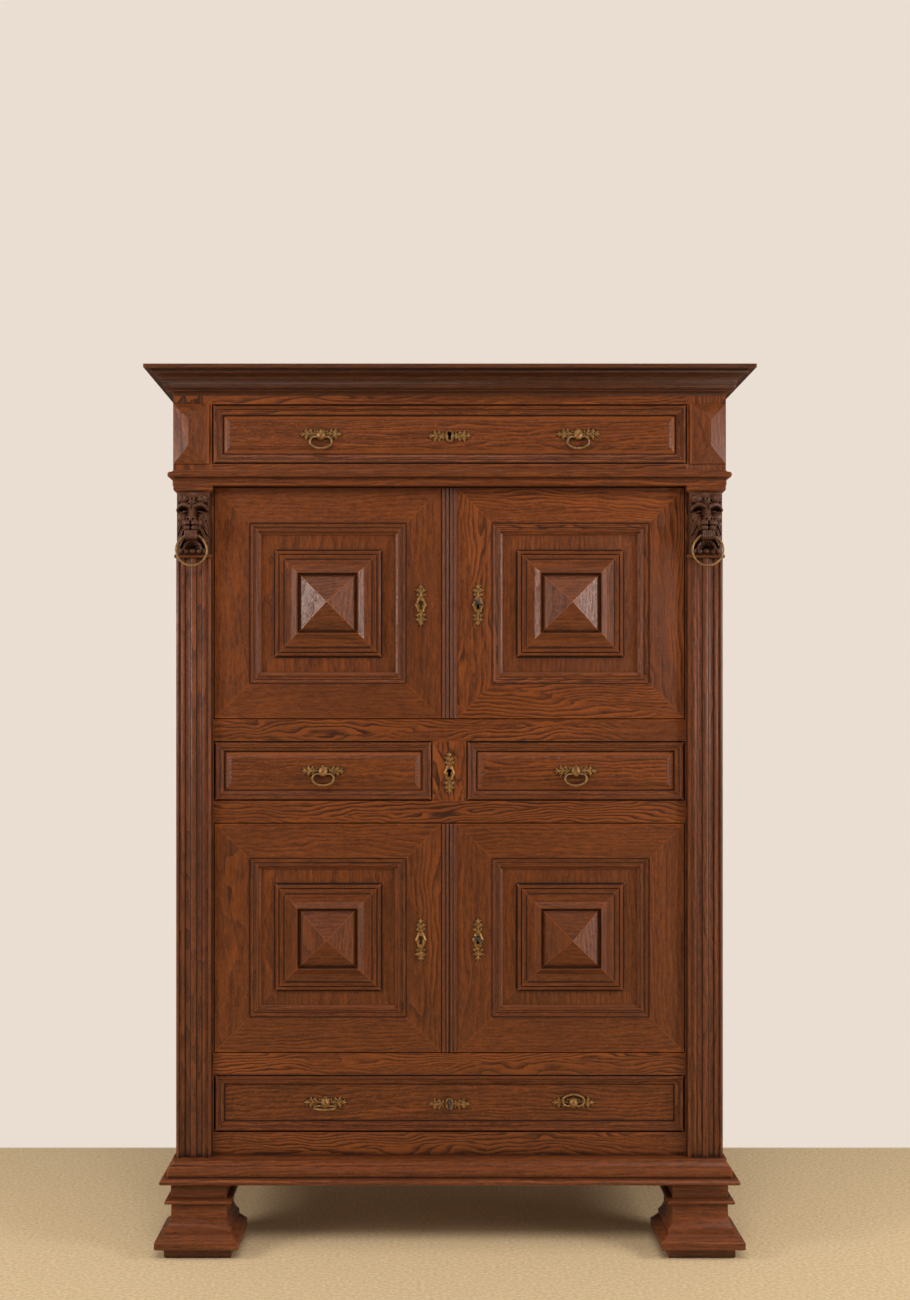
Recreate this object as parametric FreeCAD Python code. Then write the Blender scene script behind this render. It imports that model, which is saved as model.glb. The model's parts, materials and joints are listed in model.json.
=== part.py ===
import FreeCAD, Part
import math
import os
from FreeCAD import Placement, Rotation, Vector

# Oak cupboard with four doors and four drawers, in millimetres.
# X runs to the right, Y to the back and Z up. The origin is on the floor, in the middle of the outline.

# Heights of the front, from the floor up
foot_height = 164.0
plinth_height = 51.0
bottom_rail_height = 52.0
bottom_drawer_height = 130.0
low_rail_height = 49.0
lower_door_height = 520.0
lower_middle_rail_height = 49.0
middle_drawer_height = 135.0
upper_middle_rail_height = 49.0
upper_door_height = 524.0
waist_height = 34.0
frieze_sill_height = 14.0
top_drawer_height = 134.0
frieze_head_height = 20.0
cornice_height = 55.0

# Widths and depths of the carcase
opening_width = 1064.0
stile_width = 82.0
centre_stile_width = 76.0
carcase_depth = 526.0
frieze_proud = 20.0
frieze_side_proud = 5.0
cornice_projection = 54.0
frame_thickness = 28.0
side_thickness = 24.0
back_thickness = 14.0
board_thickness = 18.0
shelf_thickness = 20.0
shelf_setback = 46.0
back_board_count = 6
back_board_chamfer = 3.0

# Side frames
side_stile_width = 72.0
side_bottom_rail_height = 88.0
side_panel_thickness = 12.0
side_panel_recess = 6.0
side_panel_field_height = 5.0
side_panel_bevel = 42.0
panel_tongue = 8.0

# Mouldings that run round the front and both sides
plinth_projection = 23.0
moulding_thickness = 30.0
cornice_thickness = 22.0
waist_projection = 10.5

# Pilasters, capitals, necking bars
pilaster_width = 78.0
pilaster_relief = 15.0
necking_radius = 4.0
necking_overhang = 3.0
capital_height = 15.0

# Feet
foot_width = 116.0
foot_depth = 96.0
foot_projection = 34.0
rear_foot_depth = 84.0

# Frieze blocks
frieze_block_width = 75.5
frieze_block_inset = 1.0
frieze_block_rise = 22.0
frieze_block_edge = 2.5
frieze_fillet_width = 4.5
frieze_fillet_height = 3.0

# Doors
door_thickness = 28.0
door_gap = 2.5
strip_width = 35.4
strip_proud = 4.0
door_frame_width = 78.0
door_moulding_width = 26.0
panel_setback = 11.0
panel_thickness = 12.0
boss_margin = 31.4
boss_moulding_width = 56.0
boss_moulding_height = 22.0
pyramid_base_height = 15.0
pyramid_height = 52.0

# Pivot hinges
pivot_inset = 12.0
pivot_setback = 6.0
pivot_pin_radius = 3.0
pivot_pin_length = 9.0
pivot_plate_length = 40.0
pivot_plate_width = 10.0
pivot_plate_thickness = 2.0
pivot_clearance = 0.06
pivot_relief = 1.0
pivot_sides = 8

# Drawers
drawer_gap = 2.0
drawer_board_thickness = 18.0
drawer_face_setback = 9.0
drawer_moulding_width = 21.0
drawer_bevel = 14.0
drawer_field_margin = 3.0
drawer_field_setback = 2.0
drawer_side_thickness = 12.0
drawer_bottom_thickness = 8.0
drawer_bottom_raise = 10.0
drawer_back_room = 26.0
drawer_side_drop = 16.0
guide_height = 24.0
guide_clearance = 1.5
kicker_overlap = 12.0
kicker_clearance = 1.5

# Cast brass pull plates, escutcheons and bails
plate_length = 97.0
plate_height = 28.0
plate_thickness = 2.2
pull_boss_width = 20.0
pull_boss_height = 29.0
boss_facets = 4
pull_pivot_drop = 6.5
pull_pivot_out = 6.0
bail_half_width = 24.2
bail_drop = 26.0
bail_corner_radius = 11.0
bail_wire_radius = 2.3
bail_pin_radius = 1.7
bail_pin_start = 3.5
bail_pin_clearance = 0.35
bail_corner_steps = 3
bail_bottom_steps = 2
top_pull_spacing = 576.0
middle_pull_offset = 285.0
bottom_pull_spacing = 561.0
keyhole_radius = 5.0
keyhole_slot_width = 5.6
keyhole_slot_drop = 13.0
keyhole_rise = 4.0
escutcheon_proud = 1.5
escutcheon_offset = 64.5

# Locks, bolts and keys
lock_case_width = 70.0
lock_case_height = 76.0
lock_case_thickness = 13.0
lock_wall = 1.5
bolt_height = 12.0
bolt_thickness = 6.0
bolt_rise = 13.5
bolt_length = 78.0
bolt_throw = 10.0
bolt_clearance = 0.5
bolt_back = 3.0
key_shaft_radius = 2.8
key_bow_width = 27.0
key_bow_height = 21.0
key_bow_wire = 2.4
key_stand_off = 14.0
key_bit_reach = 10.5
key_bit_width = 5.0
key_bit_thickness = 2.6
key_collar_radius = 4.4
key_collar_length = 3.0
door_key_tilt = 33.0
drawer_lock_case_height = 46.0

# Lion masks and rings
mask_width = 73.0
mask_height = 139.0
mask_snout = 34.0
mask_ground = 4.0
mask_pivot_rise = 42.0
mask_pivot_out = 20.0
mask_jaw_width = 27.0
mask_jaw_wall = 3.5
ring_radius = 34.5
ring_wire = 2.5
ring_channel_radius = 6.2

# Door stops and shelf bearers
stop_width = 16.0
stop_height = 20.0
stop_end_room = 60.0
bearer_width = 18.0
bearer_setback = 5.0
bearer_height = 24.0

# One overrun serves every cut that has to pass a face
overrun = 5.0

# Degrees that one chord or facet takes of a small round, and the share of a length that counts as nothing
chord_turn = 50.0
tiny = 1e-6

# Sides of round wires, rods and bars, and steps round a ring and round a key's bow
wire_sides = 6
rod_sides = 8
bar_sides = 12
ring_steps = 16
bow_steps = 8

# Levels of the front
z_plinth = foot_height
z_body = z_plinth + plinth_height
z_bottom_drawer = z_body + bottom_rail_height
z_low_rail = z_bottom_drawer + bottom_drawer_height
z_lower_door = z_low_rail + low_rail_height
z_lower_middle = z_lower_door + lower_door_height
z_middle_drawer = z_lower_middle + lower_middle_rail_height
z_upper_middle = z_middle_drawer + middle_drawer_height
z_upper_door = z_upper_middle + upper_middle_rail_height
z_waist = z_upper_door + upper_door_height
z_frieze = z_waist + waist_height
z_top_drawer = z_frieze + frieze_sill_height
z_head = z_top_drawer + top_drawer_height
z_cornice = z_head + frieze_head_height
z_top = z_cornice + cornice_height
z_capital = z_waist - capital_height
z_necking = z_capital - mask_height - 2 * necking_radius

# Planes of the plan
overall_depth = carcase_depth + frieze_proud + cornice_projection
y_back = overall_depth / 2
y_face = y_back - carcase_depth
y_frieze = y_face - frieze_proud
y_frame_back = y_face + frame_thickness
y_pilaster = y_face - pilaster_relief
x_opening = opening_width / 2
x_body = x_opening + stile_width
x_inner = x_body - side_thickness
x_frieze = x_body + frieze_side_proud
x_pilaster = x_body - pilaster_width / 2
y_back_board = y_back - back_thickness

# The square boss leaves its margin on the narrowest side of a door's panel
door_narrow_side = min(
    x_opening - door_gap - strip_width / 2,
    lower_door_height - 2 * door_gap,
    upper_door_height - 2 * door_gap,
)
boss_size = door_narrow_side - 2 * (door_frame_width + door_moulding_width + boss_margin)

# Profiles, as shares of a moulding's projection and height: (out, up) or (out, up, bulge of the arc)
cornice_shares = (
    (0, 0), (0.15, 0.12, -0.35), (0.2, 0.12), (0.2, 0.17), (0.34, 0.3, 0.35), (0.34, 0.35),
    (0.69, 0.71, -0.36), (0.74, 0.71), (0.76, 0.84, 0.25), (0.98, 0.84), (1, 0.86), (1, 1),
)
waist_shares = (
    (0.1, 0), (0.1, 0.33), (0.2, 0.36), (0.2, 0.48), (0.95, 0.54, -0.12), (1, 0.6), (1, 0.76),
    (0.3, 0.9, 0.25), (0.05, 1, -0.3),
)
plinth_shares = (
    (0.4, 0), (0.92, 0), (0.92, 0.24, 0.8), (0.5, 0.25), (0.52, 0.3), (0.52, 0.57), (0.46, 0.6),
    (0.42, 0.66), (0.08, 1, -0.35),
)
capital_shares = ((0, 0), (1, 0.85, 0.38), (1, 1))
foot_shares = (
    (0.44, 0), (0.5, 0.025), (0.5, 0.136), (0.86, 0.142), (0.86, 0.275, 0.75), (0.49, 0.325), (0.49, 0.39),
    (0.12, 0.53, -0.3), (0.1, 0.7), (0.38, 0.72), (0.38, 0.775, 0.8), (0.12, 0.785), (0.12, 0.9), (0, 1, 0.2),
)

# Door frame moulding, as shares of its width and of the panel's setback: (inward, height above the panel)
door_moulding_shares = (
    (1, 0), (1, 0.12), (0.78, 0.45, 0.2), (0.76, 0.6), (0.58, 0.6, 0.75), (0.52, 0.55), (0.16, 0.82, -0.2),
    (0.06, 0.82), (0.04, 0.86), (0, 0.86),
)
# Boss moulding, as shares of its width and height
boss_shares = (
    (0, 0), (1, 0), (1, 0.68), (0.96, 0.68), (0.95, 1), (0.9, 1), (0.44, 0.5, -0.25), (0.36, 0.5),
    (0.34, 0.42), (0.2, 0.42), (0.18, 0.28), (0.16, 0.38), (0, 0.2, 0.45),
)
# Moulding planted round a drawer front, as shares of its width and height
drawer_moulding_shares = (
    (0, 0), (1, 0), (1, 0.3), (0.94, 0.42), (0.5, 0.86, -0.15), (0.44, 0.72), (0.38, 0.92), (0, 0.8, 0.4),
)
# Half of the reeded pilaster, as shares of half its width and of its relief
reed_shares = (
    (1, 0.8), (0.86, 0.93), (0.84, 0.72), (0.72, 0.74), (0.48, 0.74, 0.4), (0.19, 0.76, -0.25), (0.17, 0.84),
    (0, 1, 0.2),
)
# Half of the meeting strip, as shares of half its width and of its proud height
strip_shares = ((1, 0.3), (0.7, 0.3, 0.5), (0.58, 0.55), (0.45, 0.5), (0.1, 0.5, 0.7), (0, 0.15))

# Quarter outline of the cast wings, as shares of half the plate's length and height
wing_shares = (
    (0.2, 0.25), (0.4, 0.2), (0.48, 0.75), (0.55, 0.25), (0.7, 0.95), (0.77, 0.15), (0.9, 0.42), (1, 0),
)
# Half widths and depths of the boss at its heights, as shares of half its width and of its height
boss_half_shares = ((0, 0), (0.62, 0.1), (0.95, 0.3), (1, 0.5), (0.72, 0.76), (0, 1))

# Lion mask: eight-cornered outlines at rising depth, as (half width, foot, head, out) in shares of the
# mask's width, height, height and snout
mask_head_shares = ((0.43, -0.26, 0.33, 0), (0.36, -0.2, 0.3, 0.24), (0.2, -0.1, 0.19, 0.46))
mask_muzzle_shares = ((0.24, -0.16, 0.22, 0.22), (0.2, -0.15, 0.09, 0.68), (0.13, -0.1, 0.06, 1))
# Leaves, curls, brows and beard locks on one side, as (across, up, half width, half height, rise) in shares
# of the mask's width, height, width, height and snout, and their lean in degrees
mask_lobe_shares = (
    (0.3, 0.41, 0.17, 0.08, 0.34, 12), (0.22, 0.26, 0.19, 0.035, 0.52, 12),
    (0.38, 0.02, 0.08, 0.13, 0.3, -22), (0.35, -0.2, 0.07, 0.11, 0.22, -30),
    (0.24, -0.38, 0.1, 0.1, 0.26, -14),
)
# The same for the curl and the beard on the centre line
mask_centre_shares = ((0, 0.42, 0.09, 0.06, 0.36, 0), (0, -0.37, 0.16, 0.12, 0.34, 0))
# Bevel of such a piece as a share of its smaller half, and height of its upright edge as a share of its rise
lobe_bevel_share = 0.8
lobe_edge_share = 0.33
# Bulge of the four arcs round an escutcheon's middle
escutcheon_bulge = 0.2


# Shapes


def box(x0, x1, y0, y1, z0, z1):
    return Part.makeBox(x1 - x0, y1 - y0, z1 - z0, Vector(x0, y0, z0))


def scaled(shares, out, up):
    """Turns shares into lengths. An arc's bulge stays as it is."""
    return [(p[0] * out, p[1] * up) + tuple(p[2:]) for p in shares]


def outline(points, place):
    """Closed wire through (u, v) points. A third value is the rightward bulge of the arc that ends there."""
    edges = []
    for before, point in zip(points[-1:] + points[:-1], points):
        start = place(before[0], before[1])
        end = place(point[0], point[1])
        if start.distanceToPoint(end) < tiny:
            continue
        if len(point) == 3:
            u = (before[0] + point[0] + point[2] * (point[1] - before[1])) / 2
            v = (before[1] + point[1] - point[2] * (point[0] - before[0])) / 2
            edges.append(Part.Arc(start, place(u, v), end).toShape())
        else:
            edges.append(Part.LineSegment(start, end).toShape())
    return Part.Wire(edges)


def chorded(points):
    """The same outline with its arcs as a few chords, for small pieces that repeat."""
    result = []
    for before, point in zip(points[-1:] + points[:-1], points):
        if len(point) == 3:
            turn = 4 * math.atan(point[2])
            steps = math.ceil(abs(math.degrees(turn)) / chord_turn)
            reach = (1 - point[2] ** 2) / (4 * point[2])
            du = point[0] - before[0]
            dv = point[1] - before[1]
            u = (before[0] + point[0]) / 2 - dv * reach
            v = (before[1] + point[1]) / 2 + du * reach
            for i in range(1, steps):
                c = math.cos(turn * i / steps)
                s = math.sin(turn * i / steps)
                x = before[0] - u
                y = before[1] - v
                result.append((u + x * c - y * s, v + x * s + y * c))
        result.append(point[:2])
    return result


def prism(points, place, travel):
    return Part.Face(outline(points, place)).extrude(travel)


def mirrored(shape):
    return shape.mirror(Vector(0, 0, 0), Vector(1, 0, 0))


def both_sides(shape):
    """A right-hand piece and its mirror image on the left."""
    return [shape, mirrored(shape)]


def cut_all(shape, tools):
    for tool in tools:
        shape = shape.cut(tool)
    return shape


def fused(shapes):
    whole = shapes[0].multiFuse(shapes[1:])
    return whole.removeSplitter()


def raised_block(x0, x1, z0, z1, y_base, shoulder, rise, bevel_x, bevel_z):
    """Block with bevelled sides on a plane that faces the front: a field, a hipped roof or a pyramid."""

    def section(low, high, bevel):
        return [
            (low, 0), (high, 0), (high, shoulder), (high - bevel, rise), (low + bevel, rise), (low, shoulder),
        ]

    wide = Vector(x1 - x0, 0, 0)
    tall = Vector(0, 0, z1 - z0)
    across = prism(section(x0, x1, bevel_x), lambda u, h: Vector(u, y_base - h, z0), tall)
    upright = prism(section(z0, z1, bevel_z), lambda u, h: Vector(x0, y_base - h, u), wide)
    return across.common(upright)


def mitred_run(profile, x0, x1, y_front, y_end):
    """A moulding round the front and both sides: profile points are (out, up) from the rectangle's edge."""
    reach = max(abs(p[0]) for p in profile) + overrun
    low = min(p[1] for p in profile) - overrun
    high = max(p[1] for p in profile) + overrun
    up = Vector(0, 0, high - low)

    def wedge(corners):
        return prism(corners, lambda x, y: Vector(x, y, low), up)

    length = Vector(x1 - x0 + 2 * reach, 0, 0)
    front = prism(profile, lambda p, z: Vector(x0 - reach, y_front - p, z), length)
    front = front.common(wedge([
        (x0 - reach, y_front - reach), (x1 + reach, y_front - reach),
        (x1 - reach, y_front + reach), (x0 + reach, y_front + reach),
    ]))
    length = Vector(0, y_end - y_front + reach, 0)
    right = prism(profile, lambda p, z: Vector(x1 + p, y_front - reach, z), length)
    right = right.common(wedge([
        (x1 + reach, y_front - reach), (x1 + reach, y_end),
        (x1 - reach, y_end), (x1 - reach, y_front + reach),
    ]))
    left = prism(profile, lambda p, z: Vector(x0 - p, y_front - reach, z), length)
    left = left.common(wedge([
        (x0 - reach, y_front - reach), (x0 - reach, y_end),
        (x0 + reach, y_end), (x0 + reach, y_front + reach),
    ]))
    return [front, right, left]


def mitred_member(profile, length, width):
    """One side of a mitred frame along X: profile points are (inward, height towards the front)."""
    deep = max(abs(p[1]) for p in profile) + overrun
    bar = prism(profile, lambda u, h: Vector(0, -h, u), Vector(length, 0, 0))
    ends = [(0, 0), (length, 0), (length - width, width), (width, width)]
    return bar.common(prism(ends, lambda x, z: Vector(x, -deep, z), Vector(0, deep * 2, 0)))


def mitred_frame(profile, width, x0, x1, z0, z1, y):
    """Four mitred members round a rectangle that faces the front."""
    flat = mitred_member(profile, x1 - x0, width)
    upright = mitred_member(profile, z1 - z0, width)
    places = ((flat, x0, z0, 0), (flat, x1, z1, 180), (upright, x0, z1, 90), (upright, x1, z0, -90))
    members = []
    for bar, x, z, turn in places:
        member = bar.copy()
        member.Placement = Placement(Vector(x, y, z), Rotation(Vector(0, 1, 0), turn))
        members.append(member)
    return members


def ring_section(centre, out, side, radius, sides):
    corners = []
    for i in range(sides):
        turn = 2 * math.pi * i / sides
        corners.append(centre + out * (radius * math.cos(turn)) + side * (radius * math.sin(turn)))
    return corners


def flat_faces(corners):
    """One flat face through the corners, or two triangles where four of them don't lie in a plane."""
    ring = [c for c, d in zip(corners, corners[1:] + corners[:1]) if c.distanceToPoint(d) > tiny]
    if len(ring) < 3:
        return []
    if len(ring) == 4:
        normal = (ring[1] - ring[0]).cross(ring[2] - ring[0])
        if abs(normal.dot(ring[3] - ring[0])) > tiny * normal.Length:
            return flat_faces([ring[0], ring[1], ring[2]]) + flat_faces([ring[0], ring[2], ring[3]])
    return [Part.Face(Part.makePolygon(ring + ring[:1]))]


def skin(sections, closed=False):
    """Solid with flat facets between sections of equally many corners. A closed one has no ends."""
    faces = []
    following = sections[1:] + sections[:1] if closed else sections[1:]
    for near, far in zip(sections, following):
        for i in range(len(near)):
            faces += flat_faces([near[i - 1], near[i], far[i], far[i - 1]])
    if not closed:
        faces += flat_faces(sections[0]) + flat_faces(sections[-1])
    shell = Part.makeShell(faces)
    shell.sewShape()
    solid = Part.makeSolid(shell)
    if solid.Volume < 0:
        solid.reverse()
    return solid


def closed_ring(centre, across, along, half_across, half_along, wire, steps):
    """A closed oval ring of round wire, in the plane of two unit vectors."""
    normal = across.cross(along)
    sections = []
    for i in range(steps):
        turn = 2 * math.pi * i / steps
        spot = centre + across * (half_across * math.cos(turn)) + along * (half_along * math.sin(turn))
        travel = along * (half_along * math.cos(turn)) - across * (half_across * math.sin(turn))
        travel.normalize()
        sections.append(ring_section(spot, travel.cross(normal), normal, wire, wire_sides))
    return skin(sections, True)


def cross_bar(x0, x1, y, z, radius, sides):
    """Many-sided round along X, with its corners on the radius."""
    spots = [Vector(x, y, z) for x in (x0, x1)]
    return skin([ring_section(s, Vector(0, 1, 0), Vector(0, 0, 1), radius, sides) for s in spots])


def save(name, shapes):
    Part.makeCompound(shapes).exportStep(os.path.join("parts", name + ".step"))


# Carcase


def pivot_spots():
    """Places of the pivot axes: (side, z of the opening's foot, z of its head), side -1 left and 1 right."""
    spots = []
    for low, high in ((z_lower_door, z_lower_middle), (z_upper_door, z_waist)):
        for side in (-1, 1):
            spots.append((side, low, high))
    return spots


def x_pivot(side):
    return side * (x_opening - door_gap - pivot_inset)


def y_pivot():
    return y_face + pivot_setback


def plate_box(side, z0, z1, margin=0):
    """The room of a pivot plate, which runs inward from beside the opening's edge."""
    outer = x_pivot(side) + side * (pivot_plate_width / 2 + margin)
    inner = x_pivot(side) - side * (pivot_plate_length + margin)
    half = pivot_plate_width / 2 + margin
    return box(min(outer, inner), max(outer, inner), y_pivot() - half, y_pivot() + half, z0, z1)


def upright_bar(side, z0, z1, radius):
    """Many-sided round on a pivot axis, with its corners on the radius."""
    spots = [Vector(x_pivot(side), y_pivot(), z) for z in (z0, z1)]
    return skin([ring_section(s, Vector(1, 0, 0), Vector(0, 1, 0), radius, pivot_sides) for s in spots])


def fixed_pivot(side, z_mount, up):
    """Plate let into the rail, with the door's pin. up is 1 at the door's foot and -1 at its head."""
    z_plate = sorted((z_mount, z_mount - up * pivot_plate_thickness))
    plate = plate_box(side, z_plate[0], z_plate[1])
    pin = upright_bar(side, z_mount, z_mount + up * pivot_pin_length, pivot_pin_radius)
    return plate.fuse(pin)


def door_pivot_plate(side, z_edge, up):
    """Plate let into the door's edge, bored for the pin. up points into the door."""
    z_plate = sorted((z_edge, z_edge + up * pivot_plate_thickness))
    plate = plate_box(side, z_plate[0], z_plate[1])
    flat = (pivot_pin_radius + pivot_clearance) / math.cos(math.pi / pivot_sides)
    return plate.cut(upright_bar(side, z_plate[0] - overrun, z_plate[1] + overrun, flat))


def make_pivot_plates():
    pieces = []
    for side, low, high in pivot_spots():
        pieces.append(fixed_pivot(side, low, 1))
        pieces.append(fixed_pivot(side, high, -1))
    save("pivot_plates", pieces)


def rail_recesses():
    """Rooms for the fixed plates in the rails above and below the doors."""
    rooms = []
    for side, low, high in pivot_spots():
        rooms.append(plate_box(side, low - pivot_plate_thickness, low + overrun))
        rooms.append(plate_box(side, high - overrun, high + pivot_plate_thickness))
    return rooms


def bolt_pocket_in_rail():
    """Blind slot in the low rail for the bottom drawer's bolt."""
    half = bolt_height / 2 + bolt_clearance
    y0, y1 = drawer_bolt_planes()
    return box(
        -half, half, y0 - bolt_clearance, y1 + bolt_clearance,
        z_low_rail - overrun, z_low_rail - drawer_gap + bolt_throw + bolt_clearance,
    )


def make_face_frame():
    rails = [
        (z_body, z_bottom_drawer), (z_low_rail, z_lower_door), (z_lower_middle, z_middle_drawer),
        (z_upper_middle, z_upper_door), (z_waist, z_frieze),
    ]
    rooms = rail_recesses() + [bolt_pocket_in_rail()]
    pieces = []
    for low, high in rails:
        rail = box(-x_opening, x_opening, y_face, y_frame_back, low, high)
        pieces.append(cut_all(rail, rooms))
    stile = box(x_opening, x_body, y_face, y_frame_back, z_body, z_frieze)
    pieces += both_sides(stile)
    half = centre_stile_width / 2
    centre = box(-half, half, y_face, y_frame_back, z_middle_drawer, z_upper_middle)
    z_mid = (z_middle_drawer + z_upper_middle) / 2
    pieces.append(centre.cut(keyhole_slot(0, z_mid, y_face - overrun, y_frame_back + overrun)))
    save("face_frame", pieces)


def make_frieze_frame():
    """The frieze stands proud of the doors: two short stiles, the sill, the head and the side facings."""
    inner = x_opening
    stile = box(inner, x_frieze, y_frieze, y_frame_back, z_frieze, z_cornice)
    head = box(-inner, inner, y_frieze, y_frame_back, z_head, z_cornice)
    sill = box(-inner, inner, y_frieze, y_frame_back, z_frieze, z_top_drawer)
    facing = box(x_body, x_frieze, y_frame_back, y_back, z_frieze, z_cornice)
    save("frieze_frame", both_sides(stile) + [head, sill] + both_sides(facing))


def make_frieze_blocks():
    """Hipped block on each end of the frieze, with a fillet along its inner edge."""
    x1 = x_frieze - frieze_block_inset
    x0 = x1 - frieze_block_width
    half = frieze_block_width / 2
    block = raised_block(
        x0, x1, z_top_drawer, z_head, y_frieze, frieze_block_edge, frieze_block_rise, half, half
    )
    fillet = box(
        x0 - frieze_fillet_width, x0, y_frieze - frieze_fillet_height, y_frieze, z_top_drawer, z_head
    )
    save("frieze_blocks", both_sides(block) + both_sides(fillet))


def make_waist_moulding():
    profile = chorded(scaled(waist_shares, waist_projection, waist_height))
    profile = [(u, v + z_waist) for u, v in profile]
    backing = [(-frieze_proud, z_frieze), (-frieze_proud, z_waist)]
    front, right, left = mitred_run(profile + backing, -x_frieze, x_frieze, y_frieze, y_back)
    side_room = box(-x_body, x_body, y_face, y_back + overrun, z_waist - overrun, z_frieze + overrun)
    save("waist_moulding", [front, right.cut(side_room), left.cut(side_room)])


def make_cornice():
    profile = scaled(cornice_shares, cornice_projection, cornice_height)
    profile = [(p[0], p[1] + z_cornice) + tuple(p[2:]) for p in profile]
    backing = [(-cornice_thickness, z_top), (-cornice_thickness, z_cornice)]
    save("cornice", mitred_run(profile + backing, -x_frieze, x_frieze, y_frieze, y_back))


def make_top_board():
    x = x_frieze - cornice_thickness
    board = box(-x, x, y_frieze + cornice_thickness, y_back, z_cornice, z_cornice + board_thickness)
    save("top_board", [board])


def make_base_moulding():
    profile = scaled(plinth_shares, plinth_projection, plinth_height)
    profile = [(p[0], p[1] + z_plinth) + tuple(p[2:]) for p in profile]
    backing = [(-moulding_thickness, z_body), (-moulding_thickness, z_plinth)]
    save("base_moulding", mitred_run(profile + backing, -x_frieze, x_frieze, y_frieze, y_back))


def foot(x0, x1, y_front, y_end, profile):
    """A block foot with its mouldings worked round the front and both sides."""
    backing = [(-moulding_thickness, foot_height), (-moulding_thickness, 0)]
    core = box(
        x0 + moulding_thickness, x1 - moulding_thickness, y_front + moulding_thickness, y_end, 0, foot_height
    )
    return fused(mitred_run(profile + backing, x0, x1, y_front, y_end) + [core])


def make_feet():
    x0 = x_frieze - foot_width
    profile = scaled(foot_shares, foot_projection, foot_height)
    front = foot(x0, x_frieze, y_frieze, y_frieze + foot_depth, profile)
    rear = foot(x0, x_frieze, y_back - rear_foot_depth, y_back, chorded(profile))
    save("front_feet", both_sides(front))
    save("rear_feet", both_sides(rear))


def make_pilasters():
    half = pilaster_width / 2
    right_half = [(u * half, h * pilaster_relief) + tuple(rest) for u, h, *rest in reed_shares]
    left_half = []
    arcs = [tuple(p[2:]) for p in right_half[1:]] + [()]
    for point, arc in zip(reversed(right_half[:-1]), reversed(arcs[:-1])):
        left_half.append((-point[0], point[1]) + arc)
    profile = [(-half, 0), (half, 0)] + right_half + left_half
    board = prism(
        profile, lambda u, h: Vector(x_pilaster + u, y_face - h, z_body), Vector(0, 0, z_necking - z_body)
    )
    save("pilasters", both_sides(board))


def make_pilaster_caps():
    x0 = x_body - pilaster_width
    profile = chorded(scaled(capital_shares, frieze_side_proud, capital_height))
    profile = [(u, v + z_capital) for u, v in profile]
    backing = [(-pilaster_relief, z_waist), (-pilaster_relief, z_capital)]
    runs = mitred_run(profile + backing, x0, x_body, y_pilaster, y_face)
    core = box(x0 + pilaster_relief, x_body - pilaster_relief, y_pilaster, y_face, z_capital, z_waist)
    capital = fused(runs + [core])
    roll = cross_bar(
        x0 - necking_overhang, x_body + necking_overhang, y_pilaster, z_necking + necking_radius,
        necking_radius, bar_sides,
    )
    base = box(x0, x_body, y_pilaster, y_face, z_necking, z_necking + 2 * necking_radius)
    save("pilaster_caps", both_sides(capital) + both_sides(fused([roll, base])))


# Side frames, back and boards inside


def side_levels():
    """Panel openings of a side: (foot, head)."""
    return (
        (z_body + side_bottom_rail_height, z_middle_drawer), (z_upper_middle, z_waist),
    )


def side_panel(z0, z1):
    """Panel in the side frame, its field raised towards the outside."""
    y0 = y_frame_back + side_stile_width
    y1 = y_back - side_stile_width
    x_out = x_body - side_panel_recess - side_panel_field_height
    board = box(
        x_out - side_panel_thickness, x_out, y0 - panel_tongue, y1 + panel_tongue, z0 - panel_tongue,
        z1 + panel_tongue,
    )
    field = raised_block(
        y0 + side_panel_recess, y1 - side_panel_recess, z0 + side_panel_recess, z1 - side_panel_recess, 0,
        0, side_panel_field_height, side_panel_bevel, side_panel_bevel,
    )
    field.Placement = Placement(Vector(x_out, 0, 0), Rotation(Vector(0, 0, 1), 90))
    return board, fused([board, field])


def make_sides():
    boards = []
    panels = []
    for z0, z1 in side_levels():
        board, panel = side_panel(z0, z1)
        boards.append(board)
        panels += both_sides(panel)
    y0 = y_frame_back + side_stile_width
    y1 = y_back - side_stile_width
    heights = [z_body, z_body + side_bottom_rail_height, z_middle_drawer, z_upper_middle, z_waist, z_cornice]
    pieces = [
        box(x_inner, x_body, y_frame_back, y0, z_body, z_cornice),
        box(x_inner, x_body, y1, y_back, z_body, z_cornice),
    ]
    for low, high in zip(heights[0::2], heights[1::2]):
        pieces.append(box(x_inner, x_body, y0, y1, low, high))
    frames = []
    for piece in pieces:
        frames += both_sides(cut_all(piece, boards))
    save("side_frames", frames)
    save("side_panels", panels)


def make_back_boards():
    width = 2 * x_inner / back_board_count
    c = back_board_chamfer
    t = back_thickness
    board = [(0, 0), (width, 0), (width, t - c), (width - c, t), (c, t), (0, t - c)]
    pieces = []
    for i in range(back_board_count):
        x0 = i * width - x_inner
        pieces.append(prism(
            board, lambda u, h: Vector(x0 + u, y_back_board + h, z_body), Vector(0, 0, z_cornice - z_body)
        ))
    save("back_boards", pieces)


def divider_levels():
    """Upper faces of the horizontal boards."""
    return (z_bottom_drawer, z_lower_door, z_middle_drawer, z_upper_door, z_top_drawer)


def make_divider_boards():
    pieces = []
    for level in divider_levels():
        pieces.append(box(-x_inner, x_inner, y_frame_back, y_back_board, level - board_thickness, level))
    save("divider_boards", pieces)


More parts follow.
